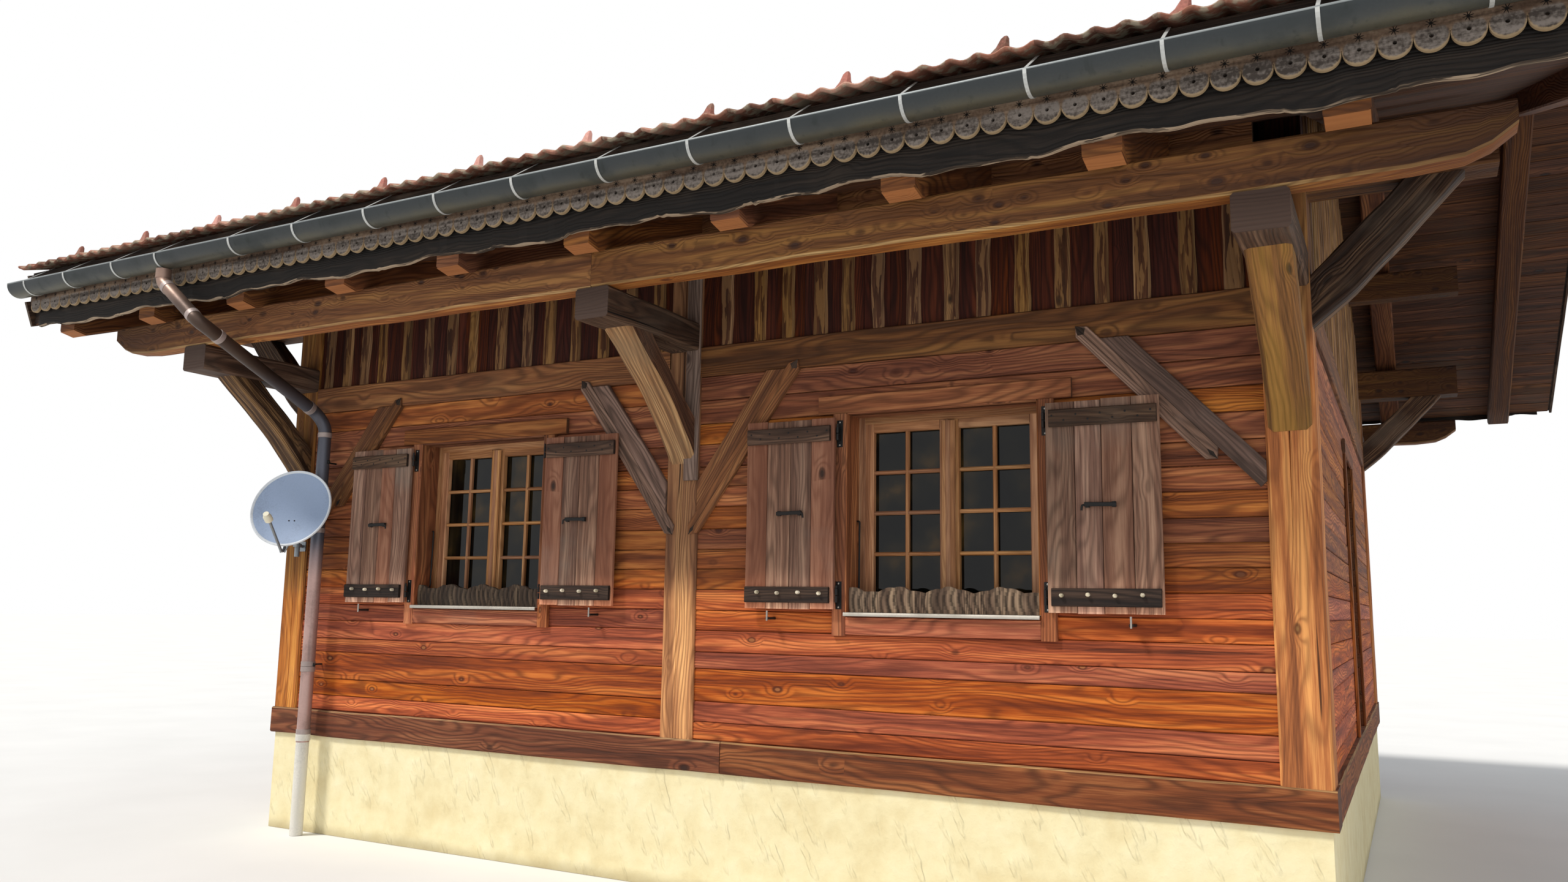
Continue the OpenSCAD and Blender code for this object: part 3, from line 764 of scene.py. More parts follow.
def inset(outline: Sequence[Flat], by: float) -> list[Flat]:
  """Move each edge of a convex outline inwards.

  Args:
      outline: Corners in order.
      by: Distance to move, in metres.

  Returns:
      The corners of the smaller outline.
  """
  pts = [Vector(p) for p in outline]
  area = sum(a.x * b.y - b.x * a.y for a, b in zip(pts, pts[1:] + pts[:1]))
  turn = 1.0 if area > 0 else -1.0
  made = []
  for k, p in enumerate(pts):
    d0 = (p - pts[k - 1]).normalized()
    d1 = (pts[(k + 1) % len(pts)] - p).normalized()
    n0, n1 = Vector((-d0.y, d0.x)) * turn, Vector((-d1.y, d1.x)) * turn
    half = n0 + n1
    made.append(tuple(p + half * (by / max(0.3, half.dot(n0)))))
  return made


def clip(outline: Sequence[Flat], axis: int, limit: float, below: bool) -> list[Flat]:
  """Cut an outline with a line square to one axis.

  Args:
      outline: Corners in order.
      axis: 0 to cut by the first coordinate, 1 by the second.
      limit: Where the line is.
      below: Keep what is under the limit, or else what is over it.

  Returns:
      The corners that are left.
  """
  sign = 1.0 if below else -1.0
  made: list[Flat] = []
  for a, b in zip(outline, [*outline[1:], outline[0]]):
    ga, gb = sign * (limit - a[axis]), sign * (limit - b[axis])
    if ga >= 0:
      made.append(tuple(a))
    if ga * gb < 0:
      t = ga / (ga - gb)
      made.append(tuple(p + (q - p) * t for p, q in zip(a, b)))
  return made


def rounded(path: Sequence[Spot], radius: float, parts: int = 6) -> list[Vector]:
  """Ease the corners of a broken line.

  Args:
      path: Corners of the line.
      radius: Distance from a corner at which its curve starts.
      parts: Pieces in each curve.

  Returns:
      Points of the eased line.
  """
  pts = [Vector(p) for p in path]
  made = [pts[0]]
  for a, b, c in zip(pts, pts[1:], pts[2:]):
    r = min(radius, (b - a).length * 0.48, (c - b).length * 0.48)
    p, q = b + (a - b).normalized() * r, b + (c - b).normalized() * r
    for k in range(parts + 1):
      t = k / parts
      made.append(p * (1 - t) ** 2 + b * 2 * t * (1 - t) + q * t * t)
  return [*made, pts[-1]]


def add_object(name: str, data: Any) -> bpy.types.Object:
  """Make an object of some data and link it to the scene.

  Args:
      name: Its name.
      data: A mesh, a camera or a lamp.

  Returns:
      The object.
  """
  made = bpy.data.objects.new(name, data)
  bpy.context.scene.collection.objects.link(made)
  return made


def show(name: str, mesh: Mesh, finishes: Sequence[Finish], node: str = "",
         body: str = "house") -> None:
  """Put a finished mesh in the scene as a piece on a body.

  Args:
      name: Name of the piece.
      mesh: Its mesh, already in the house's frame.
      finishes: Its materials in slot order.
      node: Frame node that it replaces, if any.
      body: Frame body that it rides on.
  """
  if not mesh.materials:
    for finish in finishes:
      mesh.materials.append(finish.material())
  made = add_object(name, mesh)
  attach(made, body)
  if node:
    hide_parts(node)
  LOG.info("%s: %d faces on %s", name, len(mesh.polygons), body)


class Shell:
  """Mesh under construction, with a grain map, a tone and an end mark on each face."""

  def __init__(self, seed: int, place: Matrix = HOME) -> None:
    """Start an empty mesh.

    Args:
        seed: Seed of its tones and unevenness.
        place: Matrix that every new point goes through.
    """
    self.points: list[Vector] = []
    self.faces: list[tuple[list[int], list[Flat], float, float, int]] = []
    self.chance = random.Random(seed)
    self.place = place

  def add(self, spots: Sequence[Spot]) -> int:
    """Add points and return the index of the first."""
    self.points += [self.place @ Vector(p) for p in spots]
    return len(self.points) - len(spots)

  def face(self, corners: list[int], grain: list[Flat], tone: float, end: float,
           slot: int = 0) -> None:
    """Add one face with its grain map, brightness mark, end-grain mark and material."""
    self.faces.append((corners, grain, tone, end, slot))

  def loft(self, rings: Sequence[Sequence[Spot]], tone: float | None = None,
           slots: Sequence[int] = (0,), cap_slot: int | None = None, caps: bool = True,
           end: float = 1.0, flank: float = 0.0) -> None:
    """Join closed rings of equal length into a solid.

    Args:
        rings: Rings of points, each in the same order.
        tone: Brightness mark, or none for a random one.
        slots: Material of each strip between neighbouring points, repeated.
        cap_slot: Material of the two ends.
        caps: Close the ends.
        end: End-grain mark of the ends.
        flank: End-grain mark of the faces between the rings.
    """
    tone = self.chance.random() if tone is None else tone
    u0, v0 = self.chance.random() * 9.0, self.chance.random() * 9.0
    rings = [[Vector(p) for p in ring] for ring in rings]
    n, first = len(rings[0]), self.add([p for ring in rings for p in ring])
    mids = [sum(ring, Vector()) / n for ring in rings]
    runs, girth = [u0], [v0]
    for a, b in zip(mids, mids[1:]):
      runs.append(runs[-1] + (b - a).length)
    widest = max(rings, key=lambda ring: (ring[0] - ring[n // 2]).length)
    for k in range(n):
      girth.append(girth[-1] + (widest[(k + 1) % n] - widest[k]).length)
    for i in range(len(rings) - 1):
      a, b = first + i * n, first + (i + 1) * n
      for k in range(n):
        m = (k + 1) % n
        self.face([a + k, a + m, b + m, b + k],
                  [(runs[i], girth[k]), (runs[i], girth[k + 1]),
                   (runs[i + 1], girth[k + 1]), (runs[i + 1], girth[k])],
                  tone, flank, slots[k % len(slots)])
    for i in (0, len(rings) - 1) if caps else ():
      ring = rings[i]
      e1 = (ring[1] - ring[0]).normalized()
      e2 = (ring[n // 2] - ring[0]) - e1 * (ring[n // 2] - ring[0]).dot(e1)
      e2.normalize()
      flat = [(u0 + (p - ring[0]).dot(e1), v0 + (p - ring[0]).dot(e2)) for p in ring]
      self.face([first + i * n + k for k in range(n)], flat, tone, end,
                slots[0] if cap_slot is None else cap_slot)

  def timber(self, a: Spot, b: Spot, width: float, height: float, up: Spot = (0, 0, 1),
             edge: float = 0.006, wobble: float = 0.0015, pace: float = 0.3,
             form: Callable[[float, float, float], Flat] | None = None, **looks: Any) -> None:
    """Add a squared timber with eased edges between two points.

    Args:
        a: Middle of one end.
        b: Middle of the other end.
        width: Size across.
        height: Size along up.
        up: Direction of the height.
        edge: Width of the eased edges.
        wobble: Unevenness of the faces.
        pace: Distance between rings.
        form: Function of distance, side place and height place that gives new places.
        looks: Passed to loft.
    """
    a, b = Vector(a), Vector(b)
    axis = (b - a).normalized()
    side = axis.cross(Vector(up)).normalized()
    top = side.cross(axis)
    w, h, e = width / 2, height / 2, edge
    outline = [(e - w, -h), (w - e, -h), (w, e - h), (w, h - e),
               (w - e, h), (e - w, h), (-w, h - e), (-w, e - h)]
    shift = Vector([self.chance.random() * 50 for _ in range(3)])
    length = (b - a).length
    count = max(1, round(length / pace))
    rings = []
    for k in range(count + 1):
      run = length * k / count
      ring = []
      for s, t in outline:
        if form:
          s, t = form(run, s, t)
        p = a + axis * run + side * s + top * t
        bend = noise.noise_vector(p * 2.3 + shift) * wobble
        ring.append(p + bend - axis * bend.dot(axis))
      rings.append(ring)
    self.loft(rings, **looks)

  def slab(self, lo: Spot, hi: Spot, axis: int, edge: float = 0.006, wobble: float = 0.0015,
           pace: float = 0.3, **looks: Any) -> None:
    """Add a board or beam that fills a box, with its grain along one axis.

    Args:
        lo: One corner.
        hi: The opposite corner.
        axis: 0, 1 or 2 for grain along X, Y or Z.
        edge: Width of the eased edges.
        wobble: Unevenness of the faces.
        pace: Distance between rings.
        looks: Passed to loft.
    """
    lo, hi = zip(*(sorted(pair) for pair in zip(lo, hi)))
    a = [(p + q) / 2 for p, q in zip(lo, hi)]
    b = list(a)
    a[axis], b[axis] = lo[axis], hi[axis]
    up, wide, tall = (((0, 0, 1), 1, 2), ((0, 0, 1), 0, 2), ((0, 1, 0), 0, 1))[axis]
    self.timber(a, b, hi[wide] - lo[wide], hi[tall] - lo[tall], up, edge, wobble, pace, **looks)

  def plate(self, outline: Sequence[Flat], front: float, back: float, along: Flat,
            edge: float = 0.004, tone: float | None = None, slot: int = 0) -> None:
    """Add a flat piece in the wall plane with an eased front edge.

    Args:
        outline: Corners in X and Z.
        front: Y of the front face.
        back: Y of the back face.
        along: Grain direction in X and Z.
        edge: Width of the eased edge.
        tone: Brightness mark, or none for a random one.
        slot: Its material.
    """
    tone = self.chance.random() if tone is None else tone
    shift = (self.chance.random() * 9.0, self.chance.random() * 9.0)
    d = Vector(along).normalized()
    n = len(outline)
    layers = [(back, outline), (front + edge, outline), (front, inset(outline, edge))]
    first = self.add([(x, y, z) for y, pts in layers for x, z in pts])

    def cover(corners: Sequence[tuple[int, int]], end: float) -> None:
      """Add a face.

      Args:
        corners: Layer and place in the outline of each corner.
        end: End-grain mark.
      """
      grain = []
      for layer, k in corners:
        y, pts = layers[layer]
        p = Vector(pts[k])
        grain.append((shift[0] + p.dot(d), shift[1] + p.x * -d.y + p.y * d.x + (y - front)))
      self.face([first + layer * n + k for layer, k in corners], grain, tone, end, slot)

    for i in (0, 1):
      for k in range(n):
        m = (k + 1) % n
        cover([(i, k), (i, m), (i + 1, m), (i + 1, k)], 0.15)
    for layer in (0, 2):
      cover([(layer, k) for k in range(n)], 0.0)

  def tube(self, path: Sequence[Spot], radius: float | Sequence[float], sides: int = 16,
           **looks: Any) -> None:
    """Add a round bar along a path.

    Args:
        path: Points of the middle line.
        radius: One radius, or one for each point.
        sides: Faces round it.
        looks: Passed to loft.
    """
    pts = [Vector(p) for p in path]
    radii = [radius] * len(pts) if isinstance(radius, float) else radius
    tangent = (pts[1] - pts[0]).normalized()
    side = tangent.orthogonal().normalized()
    rings = []
    for k, p in enumerate(pts):
      ahead = (pts[min(k + 1, len(pts) - 1)] - pts[max(k - 1, 0)]).normalized()
      side, tangent = tangent.rotation_difference(ahead) @ side, ahead
      other = tangent.cross(side)
      rings.append([p + (side * cos(a) + other * sin(a)) * radii[k]
                    for a in (tau * j / sides for j in range(sides))])
    self.loft(rings, end=0.0, **looks)

  def lathe(self, profile: Sequence[Flat], sides: int, frame: Matrix = HOME, **looks: Any) -> None:
    """Turn a profile of radii and heights round a frame's Z axis; looks go to loft."""
    turns = [tau * j / sides for j in range(sides)]
    self.loft([[frame @ Vector((max(r, 1e-4) * cos(a), max(r, 1e-4) * sin(a), z)) for a in turns]
               for r, z in profile], end=0.0, **looks)

  def dome(self, centre: Spot, radius: float, towards: Spot = (0, -1, 0), **looks: Any) -> None:
    """Add a low round head, such as a screw's, on the middle of its foot."""
    turn = Vector(towards).to_track_quat("Z", "Y").to_matrix().to_4x4()
    self.lathe([(radius, -0.002), (radius, radius * 0.2), (radius * 0.7, radius * 0.42),
                (0.0, radius * 0.5)], 10, Matrix.Translation(centre) @ turn, **looks)

  def curved(self, low: Sequence[Flat], high: Sequence[Flat], mid: float, width: float,
             spot: Callable[[Flat, float], Spot], edge: float,
             slots: tuple[int, int] = (0, 0)) -> None:
    """Add a naturally curved timber between two outlines.

    Args:
        low: Lower or outer outline.
        high: Upper or inner outline.
        mid: Middle of its thickness.
        width: Its thickness.
        spot: Turns an outline point and a place in the thickness into a point.
        edge: Width of the eased edges.
        slots: Material of the lower face with its edges, and of the rest.
    """
    w = width / 2
    shift = self.chance.random() * 60
    rings = []
    for k, (p, q) in enumerate(zip(spaced(low, 16), spaced(high, 16))):
      gap = dist(p, q)
      ring = []
      for t, y in ((0, -w + edge), (0, w - edge), (edge, w), (gap - edge, w),
                   (gap, w - edge), (gap, edge - w), (gap - edge, -w), (edge, -w)):
        mixed = tuple(i + (j - i) * t / gap for i, j in zip(p, q))
        bend = noise.noise_vector((k * 0.35, t * 3, y * 5 + shift)) * 0.006
        ring.append(Vector(spot(mixed, mid + y)) + bend)
      rings.append(ring)
    f, r = slots
    self.loft(rings, slots=(f, f, r, r, r, r, r, f), cap_slot=r)

  def mesh(self, sharp: float = 35.0) -> Mesh:
    """Turn what was added into a mesh.

    Args:
        sharp: Angle in degrees from which an edge stays sharp.

    Returns:
        The mesh.
    """
    faces, maps, tones, ends, slots = zip(*self.faces)
    made = bpy.data.meshes.new("shell")
    made.from_pydata(self.points, [], faces)
    grain = made.uv_layers.new(name="grain")
    grain.data.foreach_set("uv", [c for spots in maps for spot in spots for c in spot])
    for label, values in (("tone", tones), ("end", ends)):
      made.attributes.new(label, "FLOAT", "FACE").data.foreach_set("value", values)
    made.polygons.foreach_set("material_index", slots)
    work = bmesh.new()
    work.from_mesh(made)
    bmesh.ops.recalc_face_normals(work, faces=work.faces)
    for f in work.faces:
      f.smooth = True
    work.to_mesh(made)
    work.free()
    made.set_sharp_from_angle(angle=radians(sharp))
    return made

  def show(self, name: str, *finishes: Finish, node: str = "", body: str = "house",
           sharp: float = 35.0) -> None:
    """Put the finished mesh in the scene as a piece; edges from sharp degrees stay sharp."""
    show(name, self.mesh(sharp), finishes, node, body)


class Layout(Enum):
  """How a tree sets its parts out."""

  LINE = "line"
  GRID = "grid"
  POINTS = "points"


@dataclass
class PartsTree:
  """Geometry Nodes tree that sets out one part many times with small random turns."""

  layout: Layout
  tree: bpy.types.NodeTree = field(init=False)
  sockets: dict[str, str] = field(init=False, default_factory=dict)

  def __post_init__(self) -> None:
    """Add the named inputs, then the nodes."""
    self.tree = bpy.data.node_groups.new(f"parts_{self.layout.value}", "GeometryNodeTree")
    self.tree.is_modifier = True
    ask = self.tree.interface.new_socket
    for name, kind in (("Geometry", "Geometry"), ("Part", "Object"), ("Count", "Int"),
                       ("Rows", "Int"), ("Start", "Vector"), ("Step", "Vector"),
                       ("Turn Spread", "Vector"), ("Seed", "Int"), ("Finish", "Material")):
      made = ask(name, in_out="INPUT", socket_type="NodeSocket" + kind)
      self.sockets[name] = made.identifier
    ask("Geometry", in_out="OUTPUT", socket_type="NodeSocketGeometry")
    self.wire(Graph(self.tree))

  def spots(self, g: Graph, given: bpy.types.NodeOutputs) -> Socket:
    """Add the nodes that make the points.

    Args:
        g: Graph to add to.
        given: Outputs of the group input node.

    Returns:
        The points.
    """
    if self.layout is Layout.POINTS:
      return given["Geometry"]
    if self.layout is Layout.LINE:
      return g.node("GeometryNodeMeshLine", {
          "Count": given["Count"], "Start Location": given["Start"],
          "Offset": given["Step"]}, mode="OFFSET").outputs["Mesh"]
    x, y, _ = g.split(given["Step"])
    wide = g.math("SUBTRACT", given["Count"], 1.0) * x
    deep = g.math("SUBTRACT", given["Rows"], 1.0) * y
    grid = g.node("GeometryNodeMeshGrid", {
        "Size X": wide, "Size Y": deep,
        "Vertices X": given["Count"], "Vertices Y": given["Rows"]})
    shift = g.node("ShaderNodeVectorMath", {
        0: g.vector(wide, deep, 0.0), 1: (0.5, 0.5, 0.0), 2: given["Start"]},
        operation="MULTIPLY_ADD")
    return g.node("GeometryNodeTransform", {
        "Geometry": grid.outputs["Mesh"], "Translation": shift.outputs[0]}).outputs["Geometry"]

  def wire(self, g: Graph) -> None:
    """Add the nodes that place, tone, realise and dress the parts.

    Args:
      g: Graph to add to.
    """
    given = g.node("NodeGroupInput", {}).outputs
    part = g.node("GeometryNodeObjectInfo", {"Object": given["Part"]})
    back = g.node("ShaderNodeVectorMath", {0: given["Turn Spread"], "Scale": -1.0},
                  operation="SCALE")
    turn = g.node("FunctionNodeRandomValue", {
        0: back.outputs[0], 1: given["Turn Spread"], "Seed": given["Seed"]},
        data_type="FLOAT_VECTOR")
    placed = g.node("GeometryNodeInstanceOnPoints", {
        "Points": self.spots(g, given), "Instance": part.outputs["Geometry"],
        "Rotation": turn.outputs[0]})
    chance = g.node("FunctionNodeRandomValue", {"Seed": given["Seed"]}, data_type="FLOAT")
    toned = g.node("GeometryNodeStoreNamedAttribute", {
        "Geometry": placed.outputs[0], "Name": "tone", "Value": chance.outputs[1]},
        data_type="FLOAT", domain="INSTANCE")
    real = g.node("GeometryNodeRealizeInstances", {0: toned.outputs[0]})
    dressed = g.node("GeometryNodeSetMaterial", {
        "Geometry": real.outputs[0], "Material": given["Finish"]})
    g.node("NodeGroupOutput", {0: dressed.outputs[0]})

  def lay(self, name: str, part: Mesh, finish: Finish, frames: Sequence[Matrix] = (HOME,),
          points: Sequence[Spot] = (), node: str = "", body: str = "house", **values: Any) -> None:
    """Run the tree and show the result as one plain piece.

    Args:
        name: Name of the piece.
        part: Mesh that is repeated.
        finish: Its finish.
        frames: Matrices; the result is copied through each.
        points: Places, for the points layout.
        node: Frame node that it replaces, if any.
        body: Frame body that it rides on.
        values: Inputs by name, with underscores for spaces.
    """
    part.attributes.remove(part.attributes["tone"])
    sample = add_object(name + "_part", part)
    seat = bpy.data.meshes.new(name + "_seat")
    seat.from_pydata(list(points) or [(0, 0, 0)], [], [])
    carrier = add_object(name + "_carrier", seat)
    tool = carrier.modifiers.new("parts", "NODES")
    tool.node_group = self.tree
    for key, value in {"Part": sample, "Finish": finish.material(), **values}.items():
      tool[self.sockets[key.replace("_", " ")]] = value
    graph = bpy.context.evaluated_depsgraph_get()
    made = bpy.data.meshes.new_from_object(carrier.evaluated_get(graph), depsgraph=graph)
    made.name = name
    for o in (sample, carrier):
      bpy.data.objects.remove(o)
    work = bmesh.new()
    for frame in frames:
      copy = made.copy()
      copy.transform(frame)
      work.from_mesh(copy)
      bpy.data.meshes.remove(copy)
    work.to_mesh(made)
    work.free()
    show(name, made, [finish], node, body)


@cache
def parts_tree(layout: Layout) -> PartsTree:
  """The tree of a layout, built once."""
  return PartsTree(layout)


@dataclass
class PlankWalls:
  """Horizontal planks between the posts, with the band beam and the boarded frieze."""

  joints: tuple[float, ...] = (0.94, 1.055, 1.185, 1.394, 1.50, 1.64, 1.77, 1.905, 2.04, 2.17,
                               2.305, 2.45, 2.585, 2.72, 2.87, 3.01, 3.17, 3.335)
  left_battens: tuple[float, ...] = (-3.6, -3.385, -3.183, -2.984, -2.715, -2.479, -2.236,
                                     -2.012, -1.732, -1.472, -1.266, -1.019, -0.77, -0.53, -0.29)
  right_battens: tuple[float, ...] = (0.27, 0.524, 0.739, 0.97, 1.172, 1.386, 1.62, 1.86, 2.07,
                                      2.31, 2.55, 2.78, 3.0, 3.25, 3.48)
  gap: float = 0.0025

  def planks(self, node: str, s: Shell, x0: float, x1: float, hole: Sequence[float]) -> None:
    """Build the planks of one panel, cut round its opening.

    Args:
        node: Frame node that they replace.
        s: Empty shell.
        x0: Left end of the panel.
        x1: Right end.
        hole: Left, right, bottom and top of the opening.
    """
    left, right, low, top = hole
    for z0, z1 in zip(self.joints, self.joints[1:]):
      spans = [(x0, x1)]
      if z0 < top - 0.01 and z1 > low + 0.01:
        spans = [(x0, left), (right, x1)]
      tone = s.chance.random()
      for a, b in spans:
        s.slab((a, s.chance.uniform(-0.002, 0.004), z0 + self.gap),
               (b, PLAN.wall, z1 - self.gap), 0, 0.005, 0.0012, 0.6, tone=tone)
        s.slab((a, 0.02, z0 - 0.008), (b, 0.04, z0 + 0.008), 0, 0.001, 0, 4)
    s.show(node + "_planks", WALL, node=node)

  def band(self, node: str, s: Shell, x0: float, x1: float) -> None:
    """Build the band beam of one panel."""
    s.slab((x0, -PLAN.proud, PLAN.band_z), (x1, PLAN.wall, PLAN.band_top), 0, wobble=0.003)
    s.show(node + "_band", BAND)

  def batten(self, s: Shell, x: float, top: float, width: float) -> None:
    """Add one wane-edged upright batten.

    Args:
        s: Shell to add to.
        x: Its left edge.
        top: Its head.
        width: Its mean width.
    """
    shift = s.chance.random() * 90
    rings = []
    for k in range(8):
      z = PLAN.band_top + (top - PLAN.band_top) * k / 7
      a = x + 0.012 * noise.noise((z * 4, shift, 0))
      b = x + width + 0.014 * noise.noise((z * 4, shift, 9))
      rings.append([(a, 0.001, z), (a + 0.012, -0.018, z), (b - 0.012, -0.018, z), (b, 0.001, z)])
    s.loft(rings, slots=(1, 0, 1, 0))

  def bay(self, wall: Matrix, left: bool, node: str) -> None:
    """Build one panel of an eaves wall.

    Args:
        wall: Frame of the wall.
        left: The left panel or the right one.
        node: Frame node that it replaces.
    """
    x0, x1 = (-3.655, -0.125) if left else (0.125, 3.655)
    x, w = PLAN.window_xs[0 if left else 1], PLAN.half_window
    self.planks(node, Shell(len(node) + 31 * left, wall), x0, x1,
                (x - w, x + w, PLAN.window_z, PLAN.window_top))
    self.band(node, Shell(len(node) + 7, wall), x0, x1)
    s = Shell(len(node) + 5, wall)
    x = x0
    while x < x1 - 0.01:
      wide = min(s.chance.uniform(0.17, 0.24), x1 - x)
      s.slab((x, s.chance.uniform(0.0, 0.003), PLAN.band_top),
             (x + wide, PLAN.wall, PLAN.plate_z), 2, 0.003, pace=0.5)
      x += wide
    s.show(node + "_frieze", FRIEZE)
    s = Shell(len(node) + 9, wall)
    for x in self.left_battens if left else self.right_battens:
      wide = s.chance.uniform(0.085, 0.105)
      self.batten(s, x, PLAN.plate_z, wide)
    s.show(node + "_battens", BATTEN, WANE)

  def gable(self, wall: Matrix, node: str, hole: Sequence[float]) -> None:
    """Build a gable wall: planks below the band beam, boards and battens above it.

    Args:
        wall: Frame of the wall.
        node: Frame node that it replaces.
        hole: Left, right, bottom and top of its opening.
    """
    end = PLAN.half_depth + PLAN.proud - PLAN.post
    self.planks(node, Shell(len(node) + 3, wall), -end, end, hole)
    self.band(node, Shell(len(node), wall), -end, end)
    s, t = Shell(len(node) + 8, wall), Shell(len(node) + 6, wall)

    def top(x: float) -> float:
      """Height of the wall's top edge."""
      return PLAN.deck(abs(x) - PLAN.half_depth)

    x = -end
    while x < end - 0.01:
      wide = min(s.chance.uniform(0.19, 0.25), end - x)
      b = end if end - x - wide < 0.06 else x + wide
      depth = s.chance.uniform(0.0, 0.003)
      plan = ((x + 0.001, depth), (b - 0.001, depth), (b - 0.001, PLAN.wall),
              (x + 0.001, PLAN.wall))
      s.loft([[(px, y, PLAN.band_top) for px, y in plan], [(px, y, top(px)) for px, y in plan]])
      if b < end - 0.05:
        self.batten(t, b - 0.045, top(abs(b) + 0.05), 0.09)
      x = b
    s.show(node + "_boards", FRIEZE)
    t.show(node + "_battens", BATTEN, WANE)

  def build(self) -> None:
    """Build all six walls."""
    for wall, word in zip(LONG_WALLS, ("front", "back")):
      self.bay(wall, True, word + "_left_wall")
      self.bay(wall, False, word + "_right_wall")
    w = PLAN.half_window
    self.gable(Side.LEFT.frame, "left_gable_wall", (-w, w, PLAN.window_z, PLAN.window_top))
    self.gable(Side.RIGHT.frame, "right_gable_wall", (-0.48, 0.48, 0.94, 2.99))


@dataclass
class PostFrame:
  """Sill beams, posts, plates, and the braces between them."""

  lap: float = 0.09
  upper: float = 0.115
  sill_depth: float = 0.26

  def sills(self) -> None:
    """Build the ring of sill beams."""
    s = Shell(11)
    x, y, z0, z1 = PLAN.half_len + 0.03, PLAN.half_depth + 0.03, PLAN.sill_z, PLAN.sill_top
    slots = (0, 0, 0, 1, 0, 1, 0, 0)
    for sy in (-1, 1):
      for x0, x1 in ((-x, 0.35), (0.352, x)):
        s.slab((x0, sy * y, z0), (x1, sy * (y - self.sill_depth), z1), 0, 0.01, 0.006, slots=slots)
    for sx in (-1, 1):
      s.slab((sx * x, -y + 0.261, z0), (sx * (x - self.sill_depth), y - 0.261, z1), 1,
             0.01, 0.006, slots=slots)
    s.show("sill_beam_timbers", SILL, WANE, node="sill_beams")

  def post(self, s: Shell, x: float, sy: int) -> None:
    """Add one post whose outer faces carry a long narrow drying check.

    Args:
        s: Shell to add to.
        x: Its middle.
        sy: -1 for the front wall, 1 for the back.
    """
    h, e = PLAN.post / 2, 0.012
    y = sy * (PLAN.half_depth + PLAN.proud - h)
    shift = s.chance.random() * 40
    rings = []
    for k in range(32):
      z = PLAN.sill_top + (PLAN.plate_z - PLAN.sill_top) * k / 31
      split = max(0.0, 0.3 + noise.noise((z * 0.9, shift, 0))) * 0.007
      off = 0.03 * noise.noise((z * 0.5, shift, 5))
      pts = [(e - h, -h), (off - split, -h), (off, -h + split * 4), (off + split, -h), (h - e, -h)]
      bend = noise.noise_vector((shift, z * 1.7, 0)) * 0.003
      rings.append([Matrix.Rotation(tau * turn / 4, 3, "Z") @ Vector((p, q, 0))
                    + Vector((x + bend.x, y + bend.y, z))
                    for turn in range(4) for p, q in pts])
    s.loft(rings)

  def posts(self) -> None:
    """Build the corner posts, the middle posts and their cover boards."""
    for seed, xs, name, finish in ((12, (-PLAN.corner_x, PLAN.corner_x), "corner_post", CORNER),
                                   (13, (0.0,), "mid_post", POST)):
      s = Shell(seed)
      for x in xs:
        for sy in (-1, 1):
          self.post(s, x, sy)
      s.show(name + "_timbers", finish, node=name + "s")
    s = Shell(18)
    for s.place in LONG_WALLS:
      s.slab((0.02, -0.042, 2.63), (0.127, -0.018, PLAN.plate_z), 2, 0.004)
    s.show("post_cover_boards", COVER)

  def plates(self) -> None:
    """Build the wall plates and the boards between the rafters over them."""
    s = Shell(14)
    head = ((0, 4.3), (0.06, 4.3), (0.06, PLAN.deck(-0.06)), (0, PLAN.deck(0)))
    for s.place in LONG_WALLS:
      s.slab((-4.79, -PLAN.proud, PLAN.plate_z), (4.79, 0.23, PLAN.plate_top), 0, 0.012, 0.004)
      s.loft([[(x, y, z) for y, z in head] for x in (-3.655, 3.655)])
    s.show("wall_plate_timbers", PURLIN, node="wall_plates")

  def plate_braces(self) -> None:
    """Build the curved braces under the plates' overhanging ends."""
    low = [(3.905, 3.30), (4.105, 3.47), (4.385, 3.76), (4.65, 4.045)]
    high = [(3.905, 3.58), (4.155, 3.83), (4.375, 4.045)]
    s = Shell(15)
    for wall in LONG_WALLS:
      for sx in (-1, 1):
        s.place = wall @ Matrix.Diagonal((sx, 1, 1, 1))
        s.curved(low, high, 0.105, 0.15, lambda p, w: (p[0], w, p[1]), 0.012)
    s.show("plate_brace_timbers", STRUT_DARK, node="plate_braces")

  def brace(self, s: Shell, foot: Flat, head: Flat, stop: Flat, slot: int) -> None:
    """Add one two-board brace, the lapped board with a bead along its middle.

    Args:
        s: Shell to add to.
        foot: Lower end in X and Z.
        head: Upper end in X and Z.
        stop: X range that the thinner board keeps to.
        slot: Material of the boards; the points at their ends have the third one.
    """
    d = Vector(head) - Vector(foot)
    run = d.length
    d.normalize()
    n = Vector((-d.y, d.x)) * (1 if d.x < 0 else -1)

    def trace(*spots: Flat) -> list[Flat]:
      """Turn places along and across the brace into places on the wall."""
      return [tuple(Vector(foot) + d * u + n * v) for u, v in spots]

    tone = s.chance.random()
    half = self.lap / 2
    for v0, v1 in ((0.0, half - 0.002), (self.lap, half + 0.002)):
      s.plate(trace((0, v0), (-0.04, half), (run + 0.05, half), (run, v0)),
              -0.034, 0.0, d, 0.004, tone, slot)
    s.plate(trace((-0.002, half - 0.012), (-0.046, half), (-0.002, half + 0.012), (0.03, half)),
            -0.036, -0.03, d, 0.001, tone, 2)
    s.plate(trace((run, half - 0.03), (run - 0.02, half), (run, half + 0.03), (run + 0.052, half)),
            -0.0355, -0.03, d, 0.001, tone, 2)
    outline = trace((-0.3, -self.upper), (run + 0.3, -self.upper), (run + 0.3, 0), (-0.3, 0))
    for axis, limit, below in ((0, stop[0], False), (0, stop[1], True), (1, PLAN.band_z, True)):
      outline = clip(outline, axis, limit, below)
    s.plate(outline, -0.031, 0.0, d, slot=slot)

